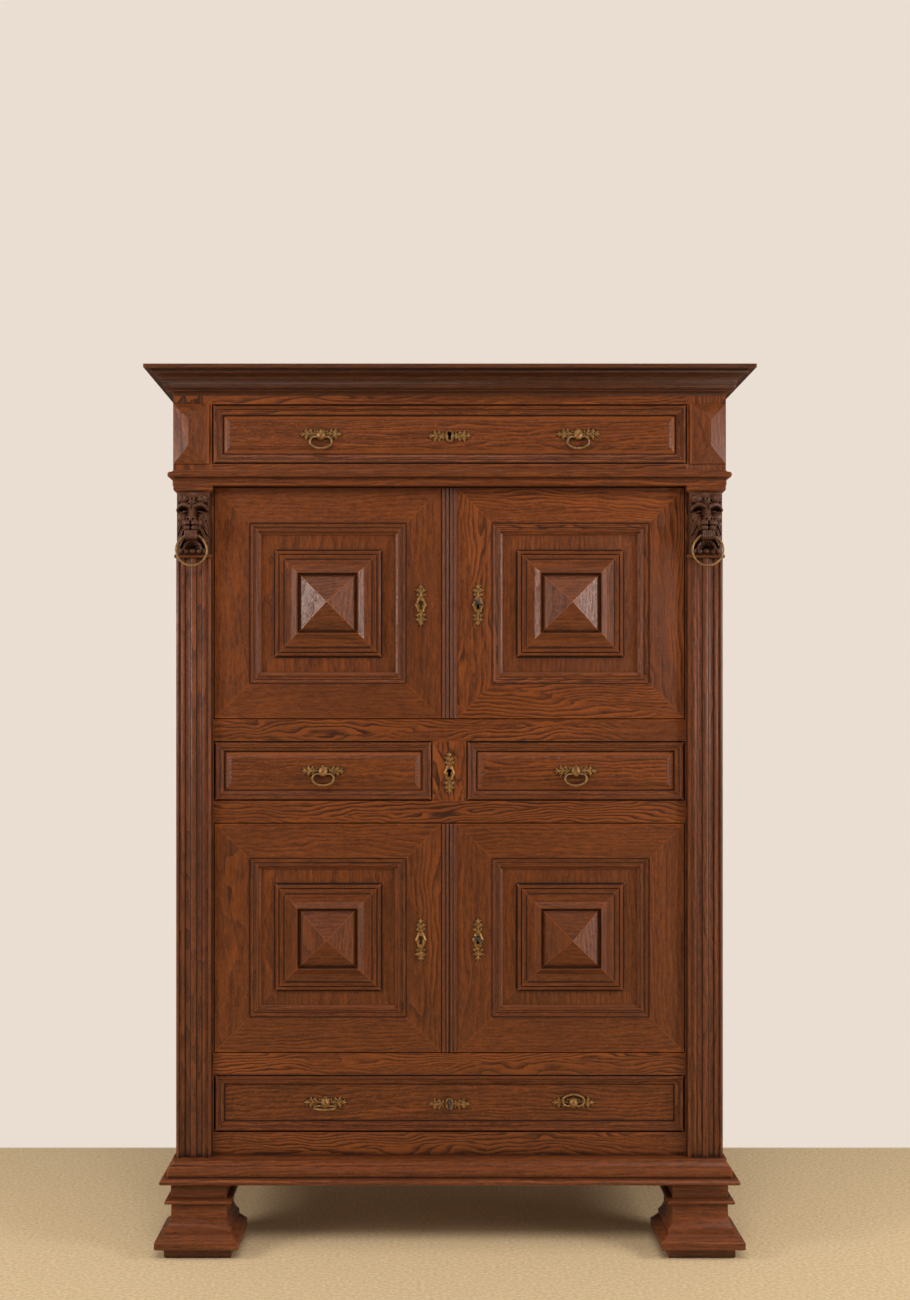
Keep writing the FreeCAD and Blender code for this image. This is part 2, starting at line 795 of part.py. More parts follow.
def make_shelves():
    pieces = []
    for low, high in ((z_lower_door, z_lower_middle), (z_upper_door, z_waist)):
        middle = (low + high) / 2
        y0 = y_frame_back + shelf_setback
        pieces.append(box(-x_inner, x_inner, y0, y_back_board, middle, middle + shelf_thickness))
        bearer = box(
            x_inner - bearer_width, x_inner, y0 + bearer_setback, y_back_board, middle - bearer_height, middle
        )
        pieces += both_sides(bearer)
        ceiling = high + lower_middle_rail_height - board_thickness
        if high == z_waist:
            ceiling = z_top_drawer - board_thickness
        x_stop = x_opening - stop_end_room
        y_stop = y_frame_back + stop_width
        pieces.append(box(-x_stop, x_stop, y_frame_back, y_stop, high - stop_height, ceiling))
    save("shelves_and_stops", pieces)


def drawer_bays():
    """Each drawer: name, x range of its opening, z range, plane of the rails round it."""
    half = centre_stile_width / 2
    return (
        ("bottom_drawer", -x_opening, x_opening, z_bottom_drawer, z_low_rail, y_face),
        ("middle_left_drawer", -x_opening, -half, z_middle_drawer, z_upper_middle, y_face),
        ("middle_right_drawer", half, x_opening, z_middle_drawer, z_upper_middle, y_face),
        ("top_drawer", -x_opening, x_opening, z_top_drawer, z_head, y_frieze),
    )


def make_drawer_runners():
    """Guides beside the drawers, and kickers above the outer edges of their sides."""
    pieces = []
    for low, high, ceiling in (
        (z_bottom_drawer, z_low_rail, z_lower_door - board_thickness),
        (z_middle_drawer, z_upper_middle, z_upper_door - board_thickness),
        (z_top_drawer, z_head, z_cornice),
    ):
        guide = box(x_opening, x_inner, y_frame_back, y_back_board, low, low + guide_height)
        z_kick = high - drawer_gap - drawer_side_drop + kicker_clearance
        kicker = box(x_opening - kicker_overlap, x_inner, y_frame_back, y_back_board, z_kick, ceiling)
        pieces += both_sides(guide) + both_sides(kicker)
    half = centre_stile_width / 2
    middle = box(-half, half, y_frame_back, y_back_board, z_middle_drawer, z_middle_drawer + guide_height)
    pieces.append(middle)
    save("drawer_runners", pieces)


# Cast fittings


def cast_plate(x, z, y, length, height):
    """Cast plate with leafy wings along X, its back on the plane y."""
    quarter = scaled(wing_shares, length / 2, height / 2)
    tip = quarter[-1]
    upper = quarter[:-1]
    right = [(u, -v) for u, v in upper] + [tip] + [(u, v) for u, v in reversed(upper)]
    left = [(-u, v) for u, v in upper] + [(-tip[0], 0)] + [(-u, -v) for u, v in reversed(upper)]
    return prism(right + left, lambda u, v: Vector(x + u, y, z + v), Vector(0, -plate_thickness, 0))


def pull_boss(x, z, y):
    """Egg-shaped boss on a pull plate, bored across for the bail's pins."""
    sections = []
    for half_share, up_share in boss_half_shares:
        half = max(half_share * pull_boss_width / 2, plate_thickness / 2)
        up = z + (up_share - 1 / 2) * pull_boss_height
        turns = [math.pi * i / boss_facets for i in range(boss_facets + 1)]
        sections.append([Vector(x + half * math.cos(t), y - half * math.sin(t), up) for t in turns])
    reach = pull_boss_width / 2 + overrun
    bore = cross_bar(
        x - reach, x + reach, y - pull_pivot_out, z - pull_pivot_drop, bail_pin_radius + bail_pin_clearance,
        rod_sides,
    )
    return skin(sections).cut(bore)


def pull_plate(x, z, y):
    plate = cast_plate(x, z, y, plate_length, plate_height)
    return fused([plate, pull_boss(x, z, y)])


def keyhole_outline():
    """A round top and a slot below it, about the round's centre."""
    half = keyhole_slot_width / 2
    rise = math.sqrt(keyhole_radius ** 2 - half ** 2)
    bulge = math.tan((math.pi - math.asin(half / keyhole_radius)) / 4)
    return chorded([
        (-half, -keyhole_slot_drop), (half, -keyhole_slot_drop), (half, -rise), (0, keyhole_radius, bulge),
        (-half, -rise, bulge),
    ])


def keyhole_slot(x, z, y0, y1):
    """The plain slot behind an escutcheon, as far as the keyhole reaches."""
    return box(x - keyhole_radius, x + keyhole_radius, y0, y1, z - keyhole_slot_drop, z + keyhole_radius)


def escutcheon_body():
    """Oval middle of an escutcheon, its back on the plane y = 0 and its keyhole above its middle."""
    half = pull_boss_width / 2
    tall = pull_boss_height / 2
    turns = ((0, -tall), (half, 0), (0, tall), (-half, 0))
    oval = chorded([corner + (escutcheon_bulge,) for corner in turns])
    return prism(oval, lambda u, v: Vector(u, 0, v), Vector(0, -plate_thickness - escutcheon_proud, 0))


def escutcheon(x, z, y, upright, open_hole=True):
    """Plate round a keyhole at x and z. An upright one has its wings above and below the hole."""
    wings = cast_plate(0, 0, 0, plate_length, plate_height)
    if upright:
        wings.rotate(Vector(0, 0, 0), Vector(0, 1, 0), 90)
    plate = fused([wings, escutcheon_body()])
    start = -plate_thickness - escutcheon_proud - overrun
    depth = escutcheon_proud + overrun
    if open_hole:
        depth = overrun - start
    hole = prism(keyhole_outline(), lambda u, v: Vector(u, start, v + keyhole_rise), Vector(0, depth, 0))
    plate = plate.cut(hole)
    plate.translate(Vector(x, y, z - keyhole_rise))
    return plate


def bail_path():
    """Points of the bail's centre line, from the left pin to the right one, with the pivot at the origin."""
    corner_x = bail_half_width - bail_corner_radius
    corner_z = -bail_corner_radius
    reach = bail_drop - bail_corner_radius
    # the bottom arc is tangent to both corner arcs
    centre = (corner_x ** 2 + corner_z ** 2 - reach ** 2) / (2 * (reach + corner_z))
    bottom_radius = centre + bail_drop
    tangent = math.atan2(corner_z - centre, corner_x)
    points = [(bail_pin_start, 0)]
    for i in range(bail_corner_steps + 1):
        turn = math.pi / 2 + (tangent - math.pi / 2) * i / bail_corner_steps
        points.append((corner_x + bail_corner_radius * math.cos(turn),
                       corner_z + bail_corner_radius * math.sin(turn)))
    for i in range(1, bail_bottom_steps + 1):
        turn = tangent + (-math.pi / 2 - tangent) * i / bail_bottom_steps
        points.append((bottom_radius * math.cos(turn), centre + bottom_radius * math.sin(turn)))
    right = points[:-1]
    return [(-u, v) for u, v in right] + [points[-1]] + list(reversed(right))


def swept_bar(points, radii):
    """Bar of round section along points in the XZ plane, mitred at each point."""
    side = Vector(0, 1, 0)
    spots = [Vector(u, 0, v) for u, v in points]
    travels = [(after - before).normalize() for before, after in zip(spots, spots[1:])]
    sections = []
    for i, spot in enumerate(spots):
        first = travels[max(i - 1, 0)]
        second = travels[min(i, len(travels) - 1)]
        middle = (first + second).normalize()
        across = side.cross(middle) * (1 / middle.dot(first))
        sections.append(ring_section(spot, across, side, radii[i], wire_sides))
    return skin(sections)


def bail(x, z, y, lift):
    """Bail in its boss, turned up by lift degrees from hanging."""
    points = bail_path()
    radii = [bail_pin_radius] * 2 + [bail_wire_radius] * (len(points) - 4) + [bail_pin_radius] * 2
    bar = swept_bar(points, radii)
    bar.rotate(Vector(0, 0, 0), Vector(1, 0, 0), -lift)
    bar.translate(Vector(x, y - pull_pivot_out, z - pull_pivot_drop))
    return bar


# Locks and keys


def drawer_bolt_planes():
    """Depth range of the bottom drawer's bolt."""
    back = y_face + drawer_face_setback + drawer_board_thickness - bolt_back
    return back - bolt_thickness, back


def door_bolt_planes():
    back = y_face + door_thickness - bolt_back
    return back - bolt_thickness, back


def lock_case(width, height):
    """Case round x = z = 0 with its back on y = 0, open towards the front, which the wood closes."""
    shell = box(-width / 2, width / 2, -lock_case_thickness, 0, -height / 2, height / 2)
    hollow = box(
        -width / 2 + lock_wall, width / 2 - lock_wall, -lock_case_thickness - overrun, -lock_wall,
        -height / 2 + lock_wall, height / 2 - lock_wall,
    )
    return shell.cut(hollow)


def round_bar(x, z, y0, y1, radius):
    spots = [Vector(x, y, z) for y in (y0, y1)]
    return skin([ring_section(s, Vector(1, 0, 0), Vector(0, 0, 1), radius, rod_sides) for s in spots])


def key(x, y_front, y_tip, z, bow_angle):
    """Key along Y: tip inside the lock, bow in front, its plane turned by bow_angle from upright."""
    shaft = round_bar(x, z, y_front, y_tip, key_shaft_radius)
    y_collar = y_front + key_collar_length
    collar = round_bar(x, z, y_collar, y_collar + key_collar_length, key_collar_radius)
    across = Vector(math.sin(math.radians(bow_angle)), 0, math.cos(math.radians(bow_angle)))
    half_along = key_bow_height / 2 - key_bow_wire
    centre = Vector(x, y_front - half_along, z)
    half_across = key_bow_width / 2 - key_bow_wire
    bow = closed_ring(centre, across, Vector(0, -1, 0), half_across, half_along, key_bow_wire, bow_steps)
    bit = box(
        x - key_bit_thickness / 2, x + key_bit_thickness / 2, y_tip - key_bit_width, y_tip,
        z - key_bit_reach, z,
    )
    return fused([shaft, collar, bow, bit])


# Doors


def door_names():
    """Each door: name, side and z range. The right-hand ones carry the locks."""
    return (
        ("lower_left_door", -1, z_lower_door, z_lower_middle),
        ("lower_right_door", 1, z_lower_door, z_lower_middle),
        ("upper_left_door", -1, z_upper_door, z_waist),
        ("upper_right_door", 1, z_upper_door, z_waist),
    )


def door_range(side):
    """x range of a door's mitred frame."""
    outer = x_opening - door_gap
    meeting = strip_width / 2
    if side > 0:
        return meeting, outer
    return -outer, -meeting - door_gap / 2


def door_profile():
    """Section of a frame member: flat face, moulding, groove for the panel."""
    width = door_frame_width + door_moulding_width
    panel = -panel_setback
    moulding = scaled(door_moulding_shares, door_moulding_width, panel_setback)
    face = [(p[0] + door_frame_width, p[1] + panel) + tuple(p[2:]) for p in moulding]
    groove = panel - panel_thickness
    return chorded([
        (0, -door_thickness), (width, -door_thickness), (width, groove), (width - panel_tongue, groove),
        (width - panel_tongue, panel),
    ] + face + [(door_frame_width, 0), (0, 0)])


def lock_spot(side, z0, z1):
    return side * escutcheon_offset, (z0 + z1) / 2


def door_bolt_box(margin=0, reach=0):
    """Room of a door's bolt, relative to the keyhole, which lies at x = z = 0."""
    y0, y1 = door_bolt_planes()
    x0 = -strip_width / 2 - escutcheon_offset
    return box(
        x0 - reach, x0 + bolt_length + margin, y0 - margin, y1 + margin, bolt_rise - margin,
        bolt_rise + bolt_height + margin,
    )


def hinge_tools(side, z0, z1):
    """Recesses for the plates in a door's edges, and pockets behind them for the pins."""
    tools = []
    half = pivot_pin_radius + pivot_relief
    for edge, up in ((z0 + door_gap, 1), (z1 - door_gap, -1)):
        low, high = sorted((edge - up * overrun, edge + up * pivot_plate_thickness))
        tools.append(plate_box(side, low, high))
        low, high = sorted((edge, edge + up * (pivot_pin_length - door_gap + pivot_relief)))
        x = x_pivot(side)
        tools.append(box(x - half, x + half, y_pivot() - half, y_pivot() + half, low, high))
    return tools


def bolt_way(side, z0, z1):
    """Slot for the bolt through a right-hand door's edge, or into a left-hand door's."""
    reach = overrun if side > 0 else bolt_throw + bolt_clearance + door_gap
    x, z = lock_spot(1, z0, z1)
    way = door_bolt_box(bolt_clearance, reach)
    way.translate(Vector(x, 0, z))
    return way


def lock_tools(side, z0, z1):
    """What a lock takes out of a door's frame."""
    if side < 0:
        return [bolt_way(side, z0, z1)]
    x, z = lock_spot(side, z0, z1)
    half = lock_case_width / 2
    tall = lock_case_height / 2
    y_back_face = y_face + door_thickness
    case = box(
        x - half, x + half, y_back_face - lock_case_thickness, y_back_face + overrun, z - tall, z + tall
    )
    return [case, bolt_way(side, z0, z1), keyhole_slot(x, z, y_face - overrun, y_back_face + overrun)]


def make_door_frame(name, side, z0, z1):
    x0, x1 = door_range(side)
    width = door_frame_width + door_moulding_width
    members = mitred_frame(door_profile(), width, x0, x1, z0 + door_gap, z1 - door_gap, y_face)
    tools = hinge_tools(side, z0, z1) + lock_tools(side, z0, z1)
    save(name + "_frame", [cut_all(member, tools) for member in members])


def make_door_panel(name, side, z0, z1):
    x0, x1 = door_range(side)
    edge = door_frame_width + door_moulding_width - panel_tongue
    y = y_face + panel_setback
    board = box(x0 + edge, x1 - edge, y, y + panel_thickness, z0 + door_gap + edge, z1 - door_gap - edge)
    x = (x0 + x1) / 2
    z = (z0 + z1) / 2
    half = boss_size / 2
    profile = chorded(scaled(boss_shares, boss_moulding_width, boss_moulding_height))
    ring = mitred_frame(profile, boss_moulding_width, x - half, x + half, z - half, z + half, y)
    inner = half - boss_moulding_width
    pyramid = raised_block(
        x - inner, x + inner, z - inner, z + inner, y, pyramid_base_height, pyramid_height, inner, inner
    )
    save(name + "_panel", [board] + ring + [pyramid])


def make_door_strip(name, z0, z1):
    """Reeded meeting strip on the right-hand door's edge."""
    half = strip_width / 2
    right_half = [(u * half, h * strip_proud) + tuple(rest) for u, h, *rest in strip_shares]
    arcs = [tuple(p[2:]) for p in right_half[1:]]
    left_half = [(-p[0], p[1]) + arc for p, arc in zip(reversed(right_half[:-1]), reversed(arcs))]
    profile = [(-half, -door_thickness), (half, -door_thickness)] + right_half + left_half
    low = z0 + door_gap
    travel = Vector(0, 0, z1 - door_gap - low)
    strip = prism(chorded(profile), lambda u, h: Vector(u, y_face - h, low), travel)
    save(name + "_strip", [strip.cut(bolt_way(1, z0, z1))])


def make_door_fittings(name, side, z0, z1):
    """Escutcheon, pivot plates and, on a right-hand door, the lock case."""
    x, z = lock_spot(side, z0, z1)
    pieces = [
        escutcheon(x, z, y_face, True, side > 0),
        door_pivot_plate(side, z0 + door_gap, 1),
        door_pivot_plate(side, z1 - door_gap, -1),
    ]
    if side > 0:
        case = lock_case(lock_case_width, lock_case_height)
        case.translate(Vector(x, y_face + door_thickness, z))
        pieces.append(case.cut(bolt_way(side, z0, z1)))
    save(name + "_fittings", pieces)


def make_door_lock_parts(name, z0, z1):
    """Bolt and key of a right-hand door."""
    x, z = lock_spot(1, z0, z1)
    bolt = door_bolt_box()
    bolt.translate(Vector(x, 0, z))
    save(name + "_bolt", [bolt])
    tip = y_face + door_thickness - lock_wall - bolt_clearance
    save(name + "_key", [key(x, y_face - key_stand_off, tip, z, 90 + door_key_tilt)])


def make_doors():
    for name, side, z0, z1 in door_names():
        make_door_frame(name, side, z0, z1)
        make_door_panel(name, side, z0, z1)
        make_door_fittings(name, side, z0, z1)
        if side > 0:
            make_door_strip(name, z0, z1)
            make_door_lock_parts(name, z0, z1)


# Drawers


def drawer_front(name, x0, x1, z0, z1, y_rail):
    """Front board with its planted moulding and, except on the bottom drawer, a raised field."""
    x0, x1, z0, z1 = x0 + drawer_gap, x1 - drawer_gap, z0 + drawer_gap, z1 - drawer_gap
    y = y_rail + drawer_face_setback
    board = box(x0, x1, y, y + drawer_board_thickness, z0, z1)
    profile = chorded(scaled(drawer_moulding_shares, drawer_moulding_width, drawer_face_setback))
    frame = mitred_frame(profile, drawer_moulding_width, x0, x1, z0, z1, y)
    pieces = [board] + frame
    if name != "bottom_drawer":
        edge = drawer_moulding_width + drawer_field_margin
        rise = drawer_face_setback - drawer_field_setback
        pieces.append(raised_block(
            x0 + edge, x1 - edge, z0 + edge, z1 - edge, y, 0, rise, drawer_bevel, drawer_bevel
        ))
    return pieces


def plate_plane(name, y_rail):
    """Plane that the drawer's plates lie on."""
    if name == "bottom_drawer":
        return y_rail + drawer_face_setback
    return y_rail + drawer_field_setback


def drawer_lock_tools(name, y_rail, z):
    """Keyhole, and in the bottom drawer the mortise and the bolt's way out."""
    y1 = y_rail + drawer_face_setback + drawer_board_thickness
    tools = [keyhole_slot(0, z, y_rail - overrun, y1 + overrun)]
    if name == "bottom_drawer":
        half = lock_case_width / 2
        tall = drawer_lock_case_height / 2
        tools.append(box(-half, half, y1 - lock_case_thickness, y1 + overrun, z - tall, z + tall))
        tools.append(drawer_bolt_box(z, bolt_clearance, overrun))
    return tools


def drawer_bolt_box(z, margin=0, reach=0):
    """Room of the bottom drawer's bolt, which stands beside the key and shoots upward."""
    y0, y1 = drawer_bolt_planes()
    half = bolt_height / 2
    top = z_low_rail - drawer_gap
    return box(
        -half - margin, half + margin, y0 - margin, y1 + margin, z + bolt_rise - margin, top + reach,
    )


def make_drawer_front(name, x0, x1, z0, z1, y_rail):
    pieces = drawer_front(name, x0, x1, z0, z1, y_rail)
    if name in ("top_drawer", "bottom_drawer"):
        z = (z0 + z1) / 2
        tools = drawer_lock_tools(name, y_rail, z)
        pieces = [cut_all(piece, tools) for piece in pieces]
    save(name + "_front", pieces)


def make_drawer_box(name, x0, x1, z0, z1, y_rail):
    """Sides, back and bottom behind the front board."""
    y0 = y_rail + drawer_face_setback + drawer_board_thickness
    y1 = y_back_board - drawer_back_room
    x0, x1 = x0 + guide_clearance, x1 - guide_clearance
    low = z0
    high = z1 - drawer_gap - drawer_side_drop
    t = drawer_side_thickness
    z_bottom = low + drawer_bottom_raise
    sides = [box(x0, x0 + t, y0, y1, low, high), box(x1 - t, x1, y0, y1, low, high)]
    back = box(x0 + t, x1 - t, y1 - t, y1, z_bottom + drawer_bottom_thickness, high)
    bottom = box(x0 + t, x1 - t, y0, y1, z_bottom, z_bottom + drawer_bottom_thickness)
    save(name + "_box", sides + [back, bottom])


def pull_places():
    """Each pull: drawer, x of its plate, lift of its bail in degrees."""
    return (
        ("top_drawer", -top_pull_spacing / 2, 0), ("top_drawer", top_pull_spacing / 2, 0),
        ("middle_left_drawer", -middle_pull_offset, 0), ("middle_right_drawer", middle_pull_offset, 0),
        ("bottom_drawer", -bottom_pull_spacing / 2, 90), ("bottom_drawer", bottom_pull_spacing / 2, 180),
    )


def bail_name(drawer, x):
    if drawer.startswith("middle"):
        return drawer.replace("drawer", "bail")
    return drawer.replace("drawer", "left_bail" if x < 0 else "right_bail")


def make_drawer_plates(name, z0, z1, y_rail):
    z = (z0 + z1) / 2
    y = plate_plane(name, y_rail)
    pieces = []
    for drawer, x, lift in pull_places():
        if drawer == name:
            pieces.append(pull_plate(x, z, y))
            save(bail_name(drawer, x), [bail(x, z, y, lift)])
    if name in ("top_drawer", "bottom_drawer"):
        pieces.append(escutcheon(0, z, y, False))
    back = y_rail + drawer_face_setback + drawer_board_thickness
    case = lock_case(lock_case_width, drawer_lock_case_height)
    if name == "bottom_drawer":
        case.translate(Vector(0, back, z))
        pieces.append(case.cut(drawer_bolt_box(z, bolt_clearance, overrun)))
    if name == "top_drawer":
        case.translate(Vector(0, back + lock_case_thickness, z))
        pieces.append(case)
    save(name + "_plates", pieces)


def make_bottom_lock_parts():
    z = (z_bottom_drawer + z_low_rail) / 2
    save("bottom_drawer_bolt", [drawer_bolt_box(z)])
    y_board = y_face + drawer_face_setback
    tip = y_board + drawer_board_thickness - lock_wall - bolt_clearance
    save("bottom_drawer_key", [key(0, y_board - key_stand_off, tip, z, 0)])


def make_drawers():
    for name, x0, x1, z0, z1, y_rail in drawer_bays():
        make_drawer_front(name, x0, x1, z0, z1, y_rail)
        make_drawer_box(name, x0, x1, z0, z1, y_rail)
        make_drawer_plates(name, z0, z1, y_rail)
    make_bottom_lock_parts()


def make_centre_lock():
    """Escutcheon and lock case on the stile between the middle drawers."""
    z = (z_middle_drawer + z_upper_middle) / 2
    case = lock_case(centre_stile_width, drawer_lock_case_height)
    case.translate(Vector(0, y_frame_back + lock_case_thickness, z))
    save("centre_lock", [escutcheon(0, z, y_face, True), case])


# Lion masks


def mask_mass(shares):
    """Part of the head as flat facets through eight-cornered outlines at rising depth."""
    sections = []
    for half_share, foot_share, head_share, out_share in shares:
        half = half_share * mask_width
        low = foot_share * mask_height
        high = head_share * mask_height
        cut = half / 2
        y = -pilaster_relief + mask_ground - out_share * (mask_snout + mask_ground)
        corners = [
            (half - cut, low), (half, low + cut), (half, high - cut), (half - cut, high),
            (cut - half, high), (-half, high - cut), (-half, low + cut), (cut - half, low),
        ]
        sections.append([Vector(u, y, v) for u, v in corners])
    return skin(sections)


def mask_lobe(across, up, half_wide, half_high, rise, lean):
    """Leaf, curl or brow: a hipped lozenge that rises from the ground of the block."""
    half_u = half_wide * mask_width
    half_v = half_high * mask_height
    out = rise * mask_snout
    bevel = min(half_u, half_v) * lobe_bevel_share
    lobe = raised_block(-half_u, half_u, -half_v, half_v, 0, out * lobe_edge_share, out, bevel, bevel)
    lobe.rotate(Vector(0, 0, 0), Vector(0, 1, 0), lean)
    lobe.translate(Vector(across * mask_width, mask_ground - pilaster_relief, up * mask_height))
    return lobe


def lion_mask():
    """Mask round x = z = 0 with its back on y = 0; its jaw is bored across for the ring."""
    half = mask_width / 2
    tall = mask_height / 2
    block = box(-half, half, mask_ground - pilaster_relief, 0, -tall, tall)
    pieces = [block, mask_mass(mask_head_shares), mask_mass(mask_muzzle_shares)]
    for across, up, half_wide, half_high, rise, lean in mask_lobe_shares:
        lobe = mask_lobe(across, up, half_wide, half_high, rise, lean)
        pieces += both_sides(lobe)
    for shares in mask_centre_shares:
        pieces.append(mask_lobe(*shares))
    v = mask_pivot_rise - tall
    y = -pilaster_relief - mask_pivot_out
    wall = ring_channel_radius + mask_jaw_wall
    half_jaw = mask_jaw_width / 2
    jaw = box(-half_jaw, half_jaw, y - wall, mask_ground - pilaster_relief, v - wall, v + wall)
    limits = box(-half, half, y - mask_snout, 0, -tall, tall)
    mask = fused(pieces + [jaw]).common(limits)
    return mask.cut(cross_bar(-half - overrun, half + overrun, y, v, ring_channel_radius, bar_sides))


def make_lion_masks():
    mask = lion_mask()
    mask.translate(Vector(x_pilaster, y_face, z_capital - mask_height / 2))
    save("lion_masks", both_sides(mask))


def ring_pivot():
    z = z_necking + 2 * necking_radius + mask_pivot_rise
    return Vector(x_pilaster, y_pilaster - mask_pivot_out, z)


def make_rings():
    top = ring_pivot()
    centre = top - Vector(0, 0, ring_radius)
    across = Vector(1, 0, 0)
    ring = closed_ring(centre, across, Vector(0, 0, 1), ring_radius, ring_radius, ring_wire, ring_steps)
    save("right_ring", [ring])
    save("left_ring", [mirrored(ring)])


def main():
    os.makedirs("parts", exist_ok=True)
    make_feet()
    make_base_moulding()
    make_face_frame()
    make_pivot_plates()
    make_pilasters()
    make_pilaster_caps()
    make_lion_masks()
    make_rings()
    make_frieze_frame()
    make_frieze_blocks()
    make_waist_moulding()
    make_cornice()
    make_top_board()
    make_sides()
    make_back_boards()
    make_divider_boards()
    make_shelves()
    make_drawer_runners()
    make_doors()
    make_drawers()
    make_centre_lock()


main()
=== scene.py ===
import json
import math
import bpy
import numpy as np
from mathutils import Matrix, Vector


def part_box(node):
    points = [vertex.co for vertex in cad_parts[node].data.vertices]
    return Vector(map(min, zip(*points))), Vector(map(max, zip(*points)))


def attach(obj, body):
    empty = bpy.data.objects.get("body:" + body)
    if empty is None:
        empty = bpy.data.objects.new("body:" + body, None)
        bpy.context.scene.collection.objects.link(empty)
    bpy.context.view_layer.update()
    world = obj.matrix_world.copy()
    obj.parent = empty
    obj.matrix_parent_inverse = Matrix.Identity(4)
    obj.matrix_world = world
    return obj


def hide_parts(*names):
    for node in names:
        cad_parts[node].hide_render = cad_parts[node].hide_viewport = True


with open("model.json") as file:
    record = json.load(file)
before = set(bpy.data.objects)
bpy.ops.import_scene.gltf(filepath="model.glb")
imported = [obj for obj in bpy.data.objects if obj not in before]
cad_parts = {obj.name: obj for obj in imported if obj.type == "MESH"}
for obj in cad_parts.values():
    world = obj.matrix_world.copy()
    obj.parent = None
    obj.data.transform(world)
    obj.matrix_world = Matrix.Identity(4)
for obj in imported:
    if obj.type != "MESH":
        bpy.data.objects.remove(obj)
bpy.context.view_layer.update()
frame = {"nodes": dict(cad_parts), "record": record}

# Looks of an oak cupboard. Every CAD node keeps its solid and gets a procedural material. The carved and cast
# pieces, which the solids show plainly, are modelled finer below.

# Places taken from the CAD, in metres
y_face = -0.226
y_frieze = -0.246
y_drawer_back = 0.245
x_opening = 0.532
x_frieze = 0.619
x_pilaster = 0.575
centre_stile = (0.038, 1.015, 1.150)    # half width, foot, top
side_stiles = (-0.126, 0.228)           # y where the side's rails begin and end
boss_half = 0.1205
door_edges = {"left": (-0.5295, -0.01895), "right": (0.0177, 0.5295)}
door_levels = {"lower": (0.4485, 0.9635), "upper": (1.2015, 1.7205)}
far = 9.0                               # past every piece

record_bodies = frame["record"]["behaviour"]["bodies"]
body_of_node = {node: body for body, members in record_bodies.items() for node in members}


# Node trees

def put(tree, socket, value):
    if isinstance(value, bpy.types.NodeSocket):
        tree.links.new(value, socket)
    else:
        socket.default_value = value


def add(tree, kind, inputs=None, **settings):
    node = tree.nodes.new("ShaderNode" + kind)
    for key, value in settings.items():
        setattr(node, key, value)
    for key, value in (inputs or {}).items():
        put(tree, node.inputs[key], value)
    return node


def calc(tree, operation, a, b=0.0, clamp=False):
    return add(tree, "Math", {0: a, 1: b}, operation=operation, use_clamp=clamp).outputs[0]


def scaled(tree, value, factor, offset):
    return add(tree, "Math", {0: value, 1: factor, 2: offset}, operation="MULTIPLY_ADD").outputs[0]


def stretch(tree, vector, scale):
    return add(tree, "Mapping", {"Vector": vector, "Scale": scale}).outputs[0]


def noise(tree, vector, scale, detail=2.0, roughness=0.5):
    return add(tree, "TexNoise", {
        "Vector": stretch(tree, vector, scale), "Scale": 1.0, "Detail": detail, "Roughness": roughness,
    }).outputs[0]


def ramp(tree, value, low, high):
    """0 at low, 1 at high, held beyond them."""
    return add(tree, "MapRange", {"Value": value, "From Min": low, "From Max": high}).outputs[0]


def openness(tree, reach, inside=False):
    """Ambient occlusion within a reach: 1 in the open, or over flat wood if inside."""
    return add(tree, "AmbientOcclusion", {"Distance": reach}, samples=8, inside=inside).outputs["AO"]


def opaque(colour):
    return colour if isinstance(colour, bpy.types.NodeSocket) else tuple(colour) + (1.0,)


def blend(tree, factor, a, b, kind="MIX"):
    inputs = {0: factor, 6: opaque(a), 7: opaque(b)}
    return add(tree, "Mix", inputs, data_type="RGBA", blend_type=kind).outputs[2]


def shade_of(colour, factor):
    return [min(1, part * factor) for part in colour]


def new_material(name):
    material = bpy.data.materials.new(name)
    material.use_nodes = True
    tree = material.node_tree
    tree.nodes.clear()
    return material, tree


def close(tree, shader):
    output = add(tree, "OutputMaterial")
    tree.links.new(shader.outputs[0], output.inputs["Surface"])


# Rules, and lines of painted shade, on the carpentry

def outside(tree, value, low, high):
    """1 outside low to high."""
    return calc(tree, "MAXIMUM", calc(tree, "LESS_THAN", value, low), calc(tree, "GREATER_THAN", value, high))


def inside(tree, value, low, high):
    return calc(tree, "SUBTRACT", 1.0, outside(tree, value, low, high))


def near(tree, value, centre, half):
    """1 at the centre, 0 from half away."""
    return ramp(tree, calc(tree, "ABSOLUTE", calc(tree, "SUBTRACT", value, centre)), half, half * 0.35)


def past_half(tree, value, low, high):
    """How far a value lies past the nearer of two limits."""
    away = calc(tree, "ABSOLUTE", calc(tree, "SUBTRACT", value, (low + high) / 2))
    return calc(tree, "SUBTRACT", away, (high - low) / 2)


def in_rect(tree, x, z, rect):
    """How far a point is past the ends and past the top or foot of (x0, x1, z0, z1), and its depth inside."""
    across = past_half(tree, x, *rect[:2])
    up = past_half(tree, z, *rect[2:])
    return across, up, calc(tree, "MULTIPLY", calc(tree, "MAXIMUM", across, up), -1.0)


def rect_rule(rect, deep=far, field=0.0, back=far):
    """Mitred frame of a given depth: 1 on its upright members, 0 on the lying ones, field beside it."""
    def rule(tree, x, y, z):
        across, up, depth = in_rect(tree, x, z, rect)
        members = calc(tree, "MULTIPLY", inside(tree, depth, 0.0, deep), calc(tree, "LESS_THAN", y, back))
        upright = calc(tree, "MULTIPLY", calc(tree, "GREATER_THAN", across, up), members)
        plain = calc(tree, "MULTIPLY", calc(tree, "SUBTRACT", 1.0, members), field)
        return calc(tree, "ADD", upright, plain)
    return rule


